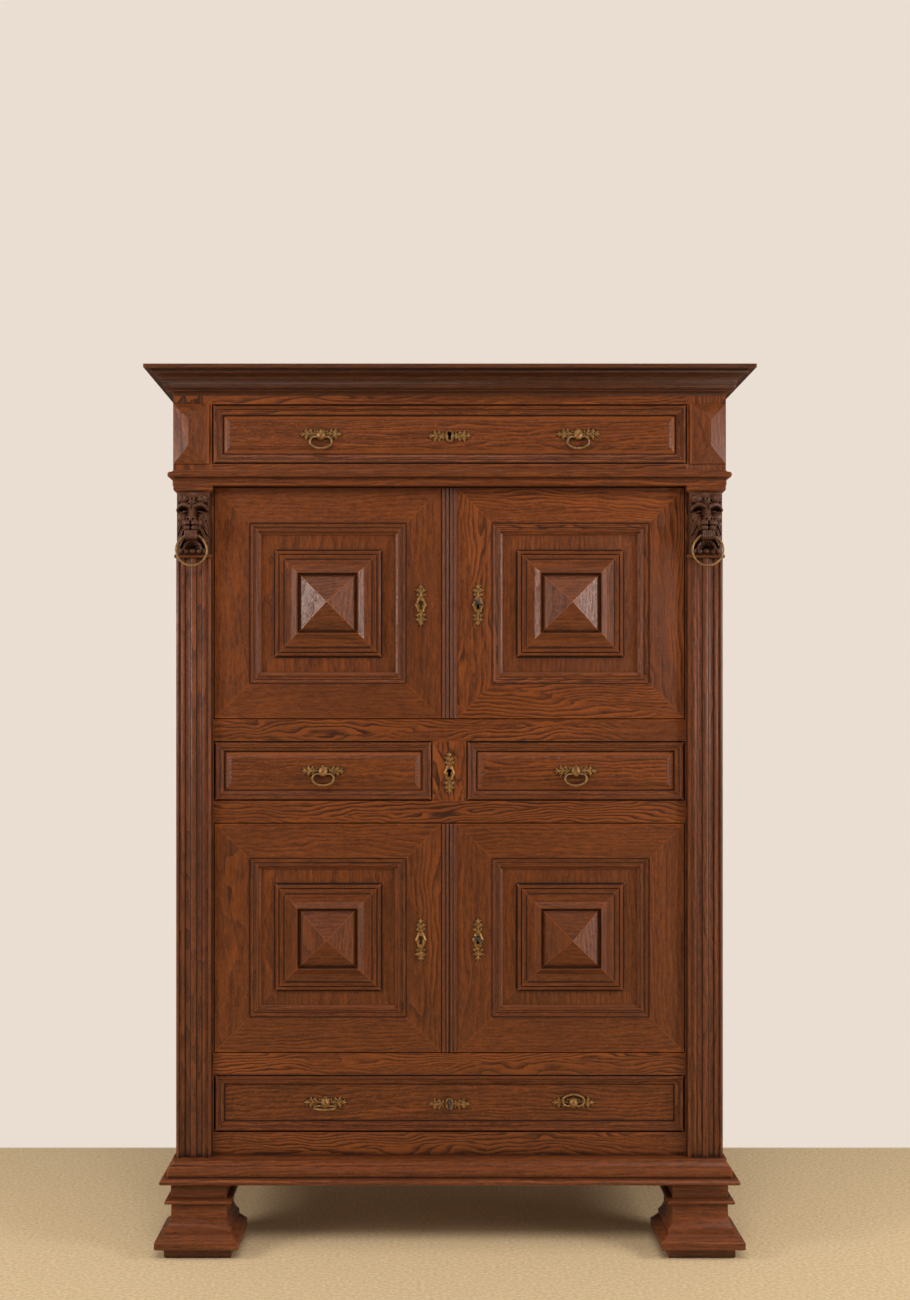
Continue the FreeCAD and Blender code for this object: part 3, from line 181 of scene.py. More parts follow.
def returns_rule(tree, x, y, z):
    """Side returns of a run round the front."""
    side = calc(tree, "SUBTRACT", calc(tree, "ABSOLUTE", x), x_frieze)
    return calc(tree, "GREATER_THAN", side, calc(tree, "SUBTRACT", y_frieze, y))


def face_rule(tree, x, y, z):
    """Posts, and the centre stile between the middle drawers."""
    half, foot, top = centre_stile
    away = calc(tree, "ABSOLUTE", x)
    middle = calc(tree, "MULTIPLY", calc(tree, "LESS_THAN", away, half), inside(tree, z, foot, top))
    return calc(tree, "MAXIMUM", calc(tree, "GREATER_THAN", away, x_opening), middle)


def side_rule(tree, x, y, z):
    return inside(tree, y, *side_stiles)


def box_rule(tree, x, y, z):
    return calc(tree, "GREATER_THAN", y, y_drawer_back)


def strongest(tree, marks, place, lines):
    """The marks with lines added, each (place, half width, strength)."""
    for centre, half, strength in lines:
        line = calc(tree, "MULTIPLY", near(tree, place, centre, half), strength)
        marks = calc(tree, "MAXIMUM", marks, line)
    return marks


def mitre_line(tree, x, z, rect, low, high, half, strength):
    """The rectangle's diagonals between two depths, and the depth."""
    across, up, depth = in_rect(tree, x, z, rect)
    line = near(tree, calc(tree, "SUBTRACT", across, up), 0.0, half)
    line = calc(tree, "MULTIPLY", line, inside(tree, depth, low, high))
    return calc(tree, "MULTIPLY", line, strength), depth


def rect_lines(rect, lines, mitre):
    """Painted shade as dark lines in the quirks at depths inside a rectangle, and its dark mitre joints
    between two depths.
    """
    def marks(tree, x, z):
        joints, depth = mitre_line(tree, x, z, rect, *mitre, half=0.0014, strength=0.6)
        return strongest(tree, joints, depth, lines)
    return marks


def pyramid_crests(rect, start):
    """Ridges of the pyramid lightened by wear and a painted highlight, deeper inside the rectangle than
    start.
    """
    def marks(tree, x, z):
        return mitre_line(tree, x, z, rect, start, far, half=0.0018, strength=0.45)[0]
    return marks


def upright_lines(centre, lines):
    """Painted shade as dark lines in the quirks up reeded members, at distances from their middles at x =
    centre and -centre.
    """
    def marks(tree, x, z):
        away = calc(tree, "SUBTRACT", calc(tree, "ABSOLUTE", x), centre)
        return strongest(tree, 0.0, calc(tree, "ABSOLUTE", away), lines)
    return marks


# Oak and metal

def oak_group():
    """Oak grain in a vector whose x runs along the grain, in metres."""
    group = bpy.data.node_groups.new("oak_grain", "ShaderNodeTree")
    face = group.interface
    face.new_socket("Along grain", in_out="INPUT", socket_type="NodeSocketVector")
    for name in ("Seed", "Figure", "Flecks"):
        face.new_socket(name, in_out="INPUT", socket_type="NodeSocketFloat")
    for name in ("Light", "Pores", "Height", "Cloud"):
        face.new_socket(name, in_out="OUTPUT", socket_type="NodeSocketFloat")
    source = group.nodes.new("NodeGroupInput").outputs
    along, seed, figure_share = source["Along grain"], source["Seed"], source["Figure"]
    shift = add(group, "CombineXYZ", {
        axis: calc(group, "MULTIPLY", seed, step) for axis, step in enumerate((31.7, 17.3, 23.9))
    }).outputs[0]
    place = add(group, "VectorMath", {0: along, 1: shift}, operation="ADD").outputs[0]

    # growth rings about a pith that leans through the board, bent by a slow warp
    warp = noise(group, place, (3.2, 9.0, 9.0), 3.0).node.outputs
    bend = add(group, "VectorMath", {0: warp[1], 1: (0.5, 0.5, 0.5)}, operation="SUBTRACT").outputs[0]
    swing = scaled(group, figure_share, 0.085, 0.03)
    bend = add(group, "VectorMath", {0: bend, "Scale": swing}, operation="SCALE").outputs[0]
    length = add(group, "SeparateXYZ", {0: along}).outputs[0]
    pith = []
    for wave, turns, lean, away in (("SINE", 91.0, 0.035, 0.5), ("COSINE", 57.0, -0.028, 1.0)):
        sway = scaled(group, calc(group, wave, calc(group, "MULTIPLY", seed, turns)), 0.06, away)
        pith.append(calc(group, "ADD", sway, calc(group, "MULTIPLY", length, lean)))
    pith = add(group, "CombineXYZ", {1: pith[0], 2: pith[1]}).outputs[0]
    centre = add(group, "VectorMath", {0: along, 1: bend}, operation="ADD").outputs[0]
    centre = add(group, "VectorMath", {0: centre, 1: pith}, operation="ADD").outputs[0]
    rings = add(group, "TexWave", {
        "Vector": stretch(group, centre, (0.05, 1.0, 1.0)), "Scale": 34.0, "Distortion": 1.5, "Detail": 2.0,
        "Detail Scale": 0.6,
    }, wave_type="RINGS", rings_direction="X", wave_profile="SAW").outputs[1]
    late = ramp(group, rings, 0.0, 0.75)

    # fibres, streaks and pores along the grain, and the ray flecks across it
    fibre = noise(group, place, (28.0, 430.0, 430.0), 4.0, 0.75)
    streak = noise(group, place, (3.0, 90.0, 90.0), 3.0, 0.6)
    mottle = noise(group, place, (46.0, 150.0, 150.0), 2.0, 0.6)
    cloud = noise(group, place, (2.4, 7.0, 7.0), 3.0)
    pores = calc(group, "SUBTRACT", noise(group, place, (150.0, 2600.0, 2600.0), 1.0),
                 calc(group, "MULTIPLY", late, 0.07))
    pores = ramp(group, pores, 0.5, 0.6)
    across = place
    for axis in ("Z_AXIS", "Y_AXIS"):
        across = add(group, "VectorRotate", {"Vector": across, "Angle": 0.42}, rotation_type=axis).outputs[0]
    flecks = ramp(group, noise(group, across, (30.0, 190.0, 190.0), 1.5), 0.61, 0.68)
    flecks = calc(group, "MULTIPLY", flecks, source["Flecks"])

    # the figure comes and goes with the warp
    patchy = calc(group, "MULTIPLY", ramp(group, warp[0], 0.34, 0.62), figure_share)
    figure = calc(group, "MULTIPLY", calc(group, "SUBTRACT", late, 0.5), patchy)
    light = scaled(group, figure, 1.3, 0.5)
    for texture, share in ((fibre, 1.5), (streak, scaled(group, figure_share, 0.8, 0.35)), (mottle, 0.85)):
        swell = calc(group, "MULTIPLY", calc(group, "SUBTRACT", texture, 0.5), share)
        light = calc(group, "ADD", light, swell)
    light = calc(group, "ADD", light, calc(group, "MULTIPLY", flecks, 0.45), clamp=True)
    height = calc(group, "ADD", calc(group, "MULTIPLY", late, 0.25), calc(group, "MULTIPLY", fibre, 0.5))
    height = calc(group, "SUBTRACT", height, pores)
    sink = group.nodes.new("NodeGroupOutput")
    for name, value in (("Light", light), ("Pores", pores), ("Height", height), ("Cloud", cloud)):
        group.links.new(value, sink.inputs[name])
    return group


oak_grain = oak_group()
grain_axes = {"x": (0, 1, 2), "y": (1, 0, 2), "z": (2, 0, 1)}
finishes = {
    # dark, light, roughness
    "oak": ((0.048, 0.0108, 0.0022), (0.228, 0.0575, 0.0095), 0.28),
    # dark: the oak darkened as painted shade for the cornice's downward-facing mouldings
    "dark": ((0.030, 0.0078, 0.0024), (0.130, 0.036, 0.0082), 0.38),
    "pilaster": ((0.052, 0.0140, 0.0050), (0.232, 0.064, 0.0185), 0.33),
    "plinth": ((0.066, 0.0160, 0.0042), (0.262, 0.069, 0.0155), 0.30),
    "carved": ((0.026, 0.0080, 0.0032), (0.150, 0.050, 0.0195), 0.31),
    "inner": ((0.215, 0.106, 0.043), (0.41, 0.232, 0.108), 0.62),
}


def grain_vector(tree, place, along):
    return add(tree, "CombineXYZ", {i: place[axis] for i, axis in enumerate(grain_axes[along])}).outputs[0]


def wood(name, finish="oak", along="x", other=None, rule=None, figure=1.0, flecks=0.3,
         lines=None, crests=None, back=far):
    """Oak with its grain along one axis, and along the other where the rule says so.

    Lines are painted shade in quirks and gaps, with dark mitre joints; crests are wear and a painted
    highlight on ridges, each drawn as far back as y = back.
    """
    material, tree = new_material(name)
    dark, light, rough = finishes[finish]
    place = add(tree, "SeparateXYZ", {0: add(tree, "TexCoord").outputs["Object"]}).outputs
    island = add(tree, "NewGeometry").outputs["Random Per Island"]

    def drawn(marks):
        before = calc(tree, "LESS_THAN", place[1], back)
        return calc(tree, "MULTIPLY", marks(tree, place[0], place[2]), before)

    vector, seed = grain_vector(tree, place, along), island
    if rule:
        factor = rule(tree, place[0], place[1], place[2])
        vectors = {0: factor, 4: vector, 5: grain_vector(tree, place, other)}
        vector = add(tree, "Mix", vectors, data_type="VECTOR").outputs[1]
        right = calc(tree, "MULTIPLY", calc(tree, "GREATER_THAN", place[0], 0.0), 0.13)
        seed = calc(tree, "ADD", seed, calc(tree, "MULTIPLY", factor, 0.37))
        seed = calc(tree, "ADD", seed, calc(tree, "MULTIPLY", factor, right))
    grain = tree.nodes.new("ShaderNodeGroup")
    grain.node_tree = oak_grain
    for socket, value in (("Along grain", vector), ("Seed", seed), ("Figure", figure), ("Flecks", flecks)):
        put(tree, grain.inputs[socket], value)
    cloud, pores = grain.outputs["Cloud"], grain.outputs["Pores"]

    # each board has its own tone, and pores stay dark
    tone = calc(tree, "ADD", scaled(tree, cloud, 0.7, 0.55), calc(tree, "MULTIPLY", island, 0.2))
    tone = add(tree, "CombineColor", {0: tone, 1: tone, 2: tone}).outputs[0]
    colour = blend(tree, 1.0, blend(tree, grain.outputs["Light"], dark, light), tone, "MULTIPLY")
    colour = blend(tree, calc(tree, "MULTIPLY", pores, 0.6), colour, shade_of(dark, 0.35))

    # dark waxy build-up and painted shade in the corners, lines of painted shade in the quirks, and arrises
    # lightened by wear and a painted highlight
    reach, start, full = (0.020, 0.72, 0.25) if finish == "carved" else (0.012, 0.88, 0.35)
    wax_and_shade = ramp(tree, openness(tree, reach), start, full)
    colour = blend(tree, calc(tree, "MULTIPLY", wax_and_shade, 0.92), colour, shade_of(dark, 0.16))
    rough = calc(tree, "ADD", rough, calc(tree, "MULTIPLY", cloud, 0.12))
    rough = calc(tree, "ADD", rough, calc(tree, "MULTIPLY", pores, 0.35))
    dull = [wax_and_shade]
    if finish != "inner":
        # painted shade under ledges and in inner corners, from a wide ambient occlusion
        painted_shade_near_ledges = ramp(tree, openness(tree, 0.07), 0.95, 0.45)
        colour = blend(tree, calc(tree, "MULTIPLY", painted_shade_near_ledges, 0.32), colour, shade_of(dark, 0.3))
    # lines of painted shade in the quirks and gaps, and dark mitre joints
    if lines:
        dull.append(drawn(lines))
        colour = blend(tree, dull[-1], colour, shade_of(dark, 0.1))
    if finish != "inner":
        # arrises and pyramid crests lightened partly as wear and partly as a painted highlight
        worn_and_highlight = calc(tree, "MULTIPLY", ramp(tree, openness(tree, 0.004, inside=True), 0.8, 0.3), 0.5)
        if crests:
            worn_and_highlight = calc(tree, "MAXIMUM", worn_and_highlight, drawn(crests))
        colour = blend(tree, worn_and_highlight, colour, shade_of(light, 1.45))
        rough = calc(tree, "SUBTRACT", rough, calc(tree, "MULTIPLY", worn_and_highlight, 0.2))
    for dulling in dull:
        rough = calc(tree, "ADD", rough, calc(tree, "MULTIPLY", dulling, 0.45), clamp=True)
    bump = add(tree, "Bump", {"Height": grain.outputs["Height"], "Strength": 0.35, "Distance": 0.0004})
    close(tree, add(tree, "BsdfPrincipled", {
        "Base Color": colour, "Roughness": rough, "Normal": bump.outputs[0], "Specular IOR Level": 0.42,
    }))
    return material


def metal(name, bright, dull, rough, grime=0.8):
    """Cast metal: bright on the high places, brown in the hollows."""
    material, tree = new_material(name)
    place = add(tree, "TexCoord").outputs["Object"]
    spots = noise(tree, place, (160.0,) * 3, 4.0, 0.6)
    fine = noise(tree, place, (1400.0,) * 3, 2.0, 0.6)
    dulling = calc(tree, "MULTIPLY", ramp(tree, openness(tree, 0.006), 0.9, 0.5), grime)
    colour = blend(tree, ramp(tree, spots, 0.35, 0.65), dull, bright)
    colour = blend(tree, dulling, colour, (0.014, 0.008, 0.0045))
    rough = calc(tree, "ADD", rough, calc(tree, "MULTIPLY", spots, 0.22))
    rough = calc(tree, "ADD", rough, calc(tree, "MULTIPLY", dulling, 0.3), clamp=True)
    height = calc(tree, "ADD", spots, calc(tree, "MULTIPLY", fine, 0.3))
    bump = add(tree, "Bump", {"Height": height, "Strength": 0.3, "Distance": 0.0003})
    close(tree, add(tree, "BsdfPrincipled", {
        "Base Color": colour, "Roughness": rough, "Metallic": scaled(tree, dulling, -0.6, 0.6),
        "Normal": bump.outputs[0],
    }))
    return material


brass = metal("brass_cast", (0.44, 0.225, 0.070), (0.17, 0.080, 0.023), 0.33, 0.97)
old_brass = metal("brass_backing", (0.15, 0.085, 0.034), (0.07, 0.038, 0.015), 0.5, 0.95)
ring_brass = metal("brass_ring", (0.43, 0.245, 0.095), (0.22, 0.118, 0.042), 0.32, 0.85)
steel = metal("steel_old", (0.10, 0.092, 0.083), (0.045, 0.038, 0.032), 0.38)


# Materials of the CAD nodes. Lines of painted shade in the quirks and gaps are (depth or distance, half
# width, strength).

frame_lines = ((0.0782, 0.0022, 0.92), (0.0878, 0.0015, 0.8), (0.1035, 0.0026, 0.95))
boss_lines = ((0.0, 0.0026, 0.95), (0.0098, 0.0019, 0.9), (0.0212, 0.0024, 0.85), (0.0545, 0.0028, 0.95))
drawer_lines = ((0.0, 0.003, 0.9), (0.0128, 0.0014, 0.65), (0.0212, 0.0022, 0.92), (0.0382, 0.0012, 0.35))
strip_lines = ((0.0, 0.0018, 0.6), (0.0080, 0.0018, 0.8), (0.0177, 0.0020, 0.95))
pilaster_lines = ((0.0331, 0.0014, 0.7), (0.0187, 0.0020, 0.9), (0.0073, 0.0018, 0.85))
drawer_moulding = 0.0212
door_figures = {"upper_left": 0.2, "upper_right": 0.9, "lower_left": 0.55, "lower_right": 0.3}


def door_rect(node):
    level, side = node.split("_")[:2]
    return door_edges[side] + door_levels[level]


def inner_face(node):
    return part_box(node)[1].y - 0.004


def door_frame_oak(node):
    rect = door_rect(node)
    return wood(node, other="z", rule=rect_rule(rect), figure=door_figures[node.replace("_door_frame", "")],
                lines=rect_lines(rect, frame_lines, (0.0785, 0.1035)), back=inner_face(node))


def door_panel_oak(node):
    x0, x1, z0, z1 = door_rect(node)
    x, z = (x0 + x1) / 2, (z0 + z1) / 2
    boss = (x - boss_half, x + boss_half, z - boss_half, z + boss_half)
    back = inner_face(node)
    return wood(node, other="z", rule=rect_rule(boss, field=1.0, back=back), figure=0.25, back=back,
                lines=rect_lines(boss, boss_lines, (0.0, 0.0525)), crests=pyramid_crests(boss, 0.057))


def drawer_front_oak(node):
    low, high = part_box(node)
    rect = (low.x, high.x, low.z, high.z)
    return wood(node, other="z", rule=rect_rule(rect, drawer_moulding), figure=0.6, flecks=1.0,
                lines=rect_lines(rect, drawer_lines, (0.0, drawer_moulding)), back=low.y + 0.011)


def drawer_box_oak(node):
    return wood(node, "inner", "y", "x", box_rule, figure=0.3)


reeded = dict(finish="pilaster", along="z")
strip = dict(reeded, figure=0.4, lines=upright_lines(0.0, strip_lines), back=y_face)
mitred_run = dict(other="y", rule=returns_rule)
node_oak = {
    "face_frame": dict(other="z", rule=face_rule, figure=1.35),
    "frieze_frame": dict(other="z", rule=face_rule, figure=0.8),
    "frieze_blocks": dict(along="z", figure=0.25),
    "waist_moulding": dict(mitred_run, figure=0.6),
    # the dark finish paints shade on the cornice
    "cornice": dict(mitred_run, finish="dark", figure=0.25),
    "base_moulding": dict(mitred_run, finish="plinth", figure=0.4),
    "front_feet": dict(finish="plinth", figure=0.3),
    "rear_feet": dict(finish="plinth", figure=0.3),
    "pilasters": dict(reeded, figure=0.5, lines=upright_lines(x_pilaster, pilaster_lines)),
    "pilaster_caps": dict(figure=0.4),
    "lion_masks": dict(finish="carved", along="z", figure=0.3),
    "lower_right_door_strip": strip,
    "upper_right_door_strip": strip,
    "side_frames": dict(along="z", other="y", rule=side_rule, figure=0.45),
    "side_panels": dict(along="z", figure=0.55, flecks=0.6),
    "back_boards": dict(finish="inner", along="z", figure=0.4),
    "divider_boards": dict(finish="inner", figure=0.35),
    "shelves_and_stops": dict(finish="inner", figure=0.35),
    "drawer_runners": dict(finish="inner", along="y", figure=0.3),
    "top_board": dict(finish="inner", figure=0.4),
}
family_oak = {
    "_door_frame": door_frame_oak, "_door_panel": door_panel_oak, "_drawer_front": drawer_front_oak,
    "_drawer_box": drawer_box_oak,
}


def node_material(node):
    if node in node_oak:
        return wood(node, **node_oak[node])
    for ending, make in family_oak.items():
        if node.endswith(ending):
            return make(node)
    return steel if node.endswith(("_key", "_bolt")) else old_brass


def soften(obj, width):
    """Worn arrises on a CAD node, without touching its mesh."""
    weld = obj.modifiers.new("weld", "WELD")
    weld.merge_threshold = 0.00001
    bevel = obj.modifiers.new("worn_edges", "BEVEL")
    bevel.width = width
    bevel.segments = 2
    bevel.limit_method = "ANGLE"
    bevel.angle_limit = math.radians(22)


for node, obj in frame["nodes"].items():
    material = node_material(node)
    obj.material_slots[0].material = material
    soften(obj, 0.0002 if material in (old_brass, steel) else 0.0007)


# Pieces of their own: reliefs as height fields, and round bars. Lengths from here on are in millimetres.

nothing = -99.0    # height where a lump doesn't reach


def mesh_piece(name, points, faces, material, sharp):
    """Object from points in millimetres, with edges over sharp degrees left sharp."""
    mesh = bpy.data.meshes.new(name)
    mesh.from_pydata((np.asarray(points) * 0.001).tolist(), [], [list(map(int, face)) for face in faces])
    mesh.materials.append(material)
    mesh.polygons.foreach_set("use_smooth", [True] * len(mesh.polygons))
    mesh.set_sharp_from_angle(angle=math.radians(sharp))
    obj = bpy.data.objects.new(name, mesh)
    bpy.context.scene.collection.objects.link(obj)
    return obj


def joined(parts):
    """One mesh from several (points, faces)."""
    points, faces, count = [], [], 0
    for part_points, part_faces in parts:
        points.append(np.asarray(part_points, float))
        faces += [[index + count for index in face] for face in part_faces]
        count += len(part_points)
    return np.concatenate(points), faces


def tube(path, radii, side, closed=False, sides=16):
    """Round bar along a plane path, side being the plane's normal."""
    path, side = np.asarray(path, float), np.asarray(side, float)
    radii = np.broadcast_to(np.asarray(radii, float), (len(path),))
    after, before = np.roll(path, -1, axis=0), np.roll(path, 1, axis=0)
    if not closed:
        after[-1], before[0] = path[-1], path[0]
    travel = after - before
    travel /= np.linalg.norm(travel, axis=1)[:, None]
    across = np.cross(side, travel)
    turns = np.linspace(0, 2 * math.pi, sides, endpoint=False)
    rounds = np.cos(turns)[None, :, None] * across[:, None, :] + np.sin(turns)[None, :, None] * side
    points = (path[:, None, :] + rounds * radii[:, None, None]).reshape(-1, 3)
    faces = []
    for i in range(len(path) - (0 if closed else 1)):
        one, two = i * sides, (i + 1) % len(path) * sides
        faces += [[one + j, one + (j + 1) % sides, two + (j + 1) % sides, two + j] for j in range(sides)]
    if not closed:
        last = (len(path) - 1) * sides
        faces += [list(range(sides))[::-1], list(range(last, last + sides))]
    return points, faces


def turned(profile, x, z):
    """Lathe-turned piece about an axis along Y: profile of (y, radius)."""
    path = [(x, y, z) for y, radius in profile]
    return tube(path, [radius for y, radius in profile], (1, 0, 0), sides=20)


def grid(half_u, low_v, high_v, step):
    """Coordinates of a height field over -half_u to half_u and low_v to high_v."""
    us = np.linspace(-half_u, half_u, int(round(2 * half_u / step)) + 1)
    vs = np.linspace(low_v, high_v, int(round((high_v - low_v) / step)) + 1)
    return np.meshgrid(us, vs)


def dome(u, v, centre, radii, top, sink):
    """Height of a rounded lump that falls by sink from its top to its edge."""
    reach = np.hypot((u - centre[0]) / radii[0], (v - centre[1]) / radii[1])
    return np.where(reach < 1, top - sink * (1 - np.sqrt(np.clip(1 - reach ** 2, 0, 1))), nothing)


def nearest(u, v, path):
    """Distance to a path and, there, the path's further values."""
    best = np.full(u.shape, 1e9)
    values = [np.zeros(u.shape) for _ in path[0][2:]]
    for a, b in zip(path, path[1:]):
        length = max((b[0] - a[0]) ** 2 + (b[1] - a[1]) ** 2, 1e-9)
        share = np.clip(((u - a[0]) * (b[0] - a[0]) + (v - a[1]) * (b[1] - a[1])) / length, 0, 1)
        away = np.hypot(u - a[0] - share * (b[0] - a[0]), v - a[1] - share * (b[1] - a[1]))
        closer = away < best
        best = np.where(closer, away, best)
        for i, (start, end) in enumerate(zip(a[2:], b[2:])):
            values[i] = np.where(closer, start + share * (end - start), values[i])
    return best, values


def ridge(u, v, path, sink):
    """Rounded bar along (u, v, top, radius); it falls by sink times its radius to its edge."""
    away, (top, radius) = nearest(u, v, path)
    reach = away / radius
    return np.where(reach < 1, top - sink * radius * (1 - np.sqrt(np.clip(1 - reach ** 2, 0, 1))), nothing)


def groove(u, v, path, width, depth):
    """Cut to take off a height, along a path."""
    away, _ = nearest(u, v, path)
    return depth * np.exp(-(away / width) ** 2)


def pit(u, v, centre, radius, depth):
    """Round hollow to take off a height."""
    return depth * np.exp(-((u - centre[0]) ** 2 + (v - centre[1]) ** 2) / radius ** 2)


def eased(height, passes):
    """Height field with its steps softened."""
    for _ in range(passes):
        ring = np.pad(height, 1, mode="edge")
        height = (ring[:-2, 1:-1] + ring[2:, 1:-1] + ring[1:-1, :-2] + ring[1:-1, 2:] + 2 * height) / 6
    return height


def relief(u, v, height, floor):
    """Points (u, v, height) and faces of a height field, without the cells that lie at the floor."""
    height = np.maximum(height, floor)
    rows, cols = height.shape
    index = np.arange(rows * cols).reshape(rows, cols)
    high = height > floor
    keep = high[:-1, :-1] | high[1:, :-1] | high[:-1, 1:] | high[1:, 1:]
    quads = np.stack([index[:-1, :-1], index[:-1, 1:], index[1:, 1:], index[1:, :-1]], -1)[keep]
    used, faces = np.unique(quads, return_inverse=True)
    points = np.stack([u.ravel()[used], v.ravel()[used], height.ravel()[used]], -1)
    return points, faces.reshape(-1, 4).tolist()


def faced(points, x, y, z):
    """Relief points (u, v, height) turned to the front, at a place in millimetres."""
    return np.stack([x + points[:, 0], y - points[:, 2], z + points[:, 1]], -1)


# Lion masks

lion_foot = 1569          # z where the mask stands on the necking bar
pilaster_front = -241     # y of the ground that it is carved from
ring_z, ring_radius = 1576.5, 34.5


def lion_height(u, v):
    """Carved face over the mask's block: v runs up from the necking bar, heights are beyond the pilaster."""
    a = np.abs(u)
    high = np.maximum(2.0 - 0.02 * a, dome(a, v, (0, 78), (35, 62), 11, 9.5))
    high = np.where(a > 33.6, 0.6, high)
    lumps = [
        # hair: fans at the sides, a curl in the middle
        dome(a, v, (21.5, 123), (12.5, 10.5), 13.5, 6), dome(a, v, (30.5, 118), (3.6, 3.6), 13, 3),
        dome(a, v, (0, 122.5), (7.4, 8), 16, 5),
        # forehead, brows and lids
        dome(a, v, (0, 108), (16, 12), 16, 6),
        ridge(a, v, ((3.5, 103.5, 23, 4), (12, 108.5, 22.5, 4.8), (21, 110, 20, 4.8), (29, 106, 17, 4),
                     (34.5, 98, 12, 2.6)), 0.9),
        dome(a, v, (16, 95), (5.6, 3.2), 12, 3),
        # cheeks
        dome(a, v, (22, 83), (12, 12), 15, 8), dome(a, v, (16, 71), (11, 14), 18, 10),
        # nose and muzzle
        ridge(a, v, ((0, 106, 20, 6.5), (0, 94, 23, 7), (0, 81, 28, 8.4)), 1.2),
        dome(a, v, (4.6, 78), (6.8, 6), 32.5, 6), dome(a, v, (0, 77), (5, 8), 33.4, 4),
        dome(a, v, (8.6, 67), (9.2, 8.6), 33.6, 10), dome(a, v, (7.8, 56), (8.4, 7.2), 32.8, 9),
        ridge(a, v, ((16.5, 75, 22, 2.8), (18.2, 65, 20, 2.8), (15.6, 53, 18, 2.4)), 1.5),
        # locks of the mane
        ridge(a, v, ((19, 80, 16, 3.4), (25.5, 68, 17, 6.2), (30, 56, 15, 4.6), (33, 45, 10, 1.6)), 0.8),
        ridge(a, v, ((17.5, 61, 15, 2.8), (22.5, 50, 15, 4.8), (27.5, 38, 12.5, 3.8),
                     (31.5, 28, 9, 1.4)), 0.8),
        ridge(a, v, ((15.5, 45, 12, 2.4), (20, 36, 12.2, 3.8), (25.5, 26, 11, 3.2),
                     (30.5, 13, 8.5, 1.6)), 0.9),
        ridge(a, v, ((32, 92, 9, 1.6), (33, 78, 9, 1.6), (32.6, 64, 8, 1.4)), 1.0),
        # beard
        ridge(a, v, ((0, 30.5, 13, 3.6), (9, 28, 13, 3.4), (16.5, 21, 12.5, 3.4), (20, 12, 11.5, 3)), 1.2),
        dome(a, v, (0, 8), (7.6, 6.6), 11, 5), dome(a, v, (14.5, 6.5), (6, 5.6), 10.5, 5),
        dome(a, v, (26.5, 8), (5.4, 6.5), 9.5, 5),
    ]
    for lump in lumps:
        high = np.maximum(high, lump)
    turn = np.arctan2(v - 112, a - 19)
    fan = (np.hypot((a - 21.5) / 12.5, (v - 123) / 10.5) < 1) & (v > 113)
    high += np.where(fan, 1.3 * np.cos(turn * 11), 0)
    high -= pit(a, v, (0, 123.5), 2.3, 7) + pit(a, v, (30.5, 118), 1.3, 3) + pit(a, v, (15.5, 95), 1.2, 2.0)
    high -= pit(a, v, (5.3, 75.5), 1.7, 6) + pit(a, v, (0, 17), 7.5, 6) + pit(a, v, (8, 113), 3.2, 5)
    cuts = [
        # muzzle and mouth, brow, cheek, above and below the eye
        (((0, 49), (0, 71)), 0.9, 5), (((0, 61.5), (16, 62)), 0.9, 4.5), (((0, 98), (0, 114)), 1.3, 3),
        (((11, 84), (14.5, 75), (17.2, 67)), 1.2, 3), (((11, 99), (17, 101.5), (25, 98)), 2.4, 6),
        (((10, 91), (24, 90)), 1.6, 3.5),
        # veins of the mane and the beard
        (((20, 79), (26, 67), (32, 50)), 0.8, 2.0), (((18.5, 60), (23, 49), (30, 33)), 0.8, 2.0),
        (((16, 45), (20, 36), (29, 18)), 0.8, 2.0),
        (((4.5, 34), (4.725, 25)), 0.8, 2.2), (((12.5, 31), (13.125, 22)), 0.8, 2.2),
    ]
    for path, width, depth in cuts:
        high -= groove(a, v, path, width, depth)
    for x in (4, 8.3, 12.6):
        for whisker, depth in (((x, 66), 1.4), ((x, 56.5), 1.2), ((x + 2, 70), 1.4)):
            high -= pit(a, v, whisker, 0.8, depth)
    gouge = 0.22 * np.sin(u * 2.1 + 1.7 * np.sin(v * 0.43)) * np.sin(v * 1.3 + u * 0.35)
    # the ring hangs before this zone and its channel lies behind the jaw
    wire = np.abs(np.hypot(a, v - (ring_z - lion_foot)) - ring_radius) < 4.4
    high = np.where(wire & (v < 40), np.minimum(high, 14.0), high)
    jaw_seat = (a < 14.2) & (v > 30) & (v < 50.6)
    high = np.where(jaw_seat, np.minimum(high, 12.2), high)
    return eased(high + gouge, 2)


def lion_jaw():
    """Upper jaw as points (u, v, height) and faces: a block with the ring's channel from side to side."""
    half, rounding, channel = 13.5, 1.5, 6.2
    axis_out, axis_up = 20, 42
    turns = np.linspace(0, 2 * math.pi, 72, endpoint=False)
    us = np.concatenate([[-half], np.linspace(-half, half, 55), [half]])
    out, up = np.cos(turns), np.sin(turns)
    # distance from the channel's axis to the block's outline
    outer = np.full(turns.shape, 99.0)
    for limit, part in ((13.2, out), (8.6, -out), (8.8, up), (11.4, -up)):
        outer = np.where(part > 1e-6, np.minimum(outer, limit / np.maximum(part, 1e-6)), outer)
    corner = (out > 0.3) & (np.abs(up) > 0.3)
    outer = np.where(corner, np.minimum(outer, 14.6), outer)
    points = []
    for i, u in enumerate(us):
        from_end = min(abs(abs(u) - half), rounding)
        swell = outer - rounding + math.sqrt(max(rounding ** 2 - (rounding - from_end) ** 2, 0))
        teeth = 1.1 * math.exp(-((u % 4.5 - 2.25) / 0.7) ** 2)
        swell = np.where(out > 0.1, swell - teeth, swell)
        radius = np.full(turns.shape, channel) if i in (0, len(us) - 1) else swell
        points += [(u, axis_up + r * y, axis_out + r * x) for r, x, y in zip(radius, out, up)]
    n = len(turns)
    faces = []
    for one in range(0, (len(us) - 1) * n, n):
        faces += [[one + j, one + n + j, one + n + (j + 1) % n, one + (j + 1) % n] for j in range(n)]
    last = (len(us) - 1) * n
    faces += [[j, (j + 1) % n, last + (j + 1) % n, last + j] for j in range(n)]
    return np.array(points), faces


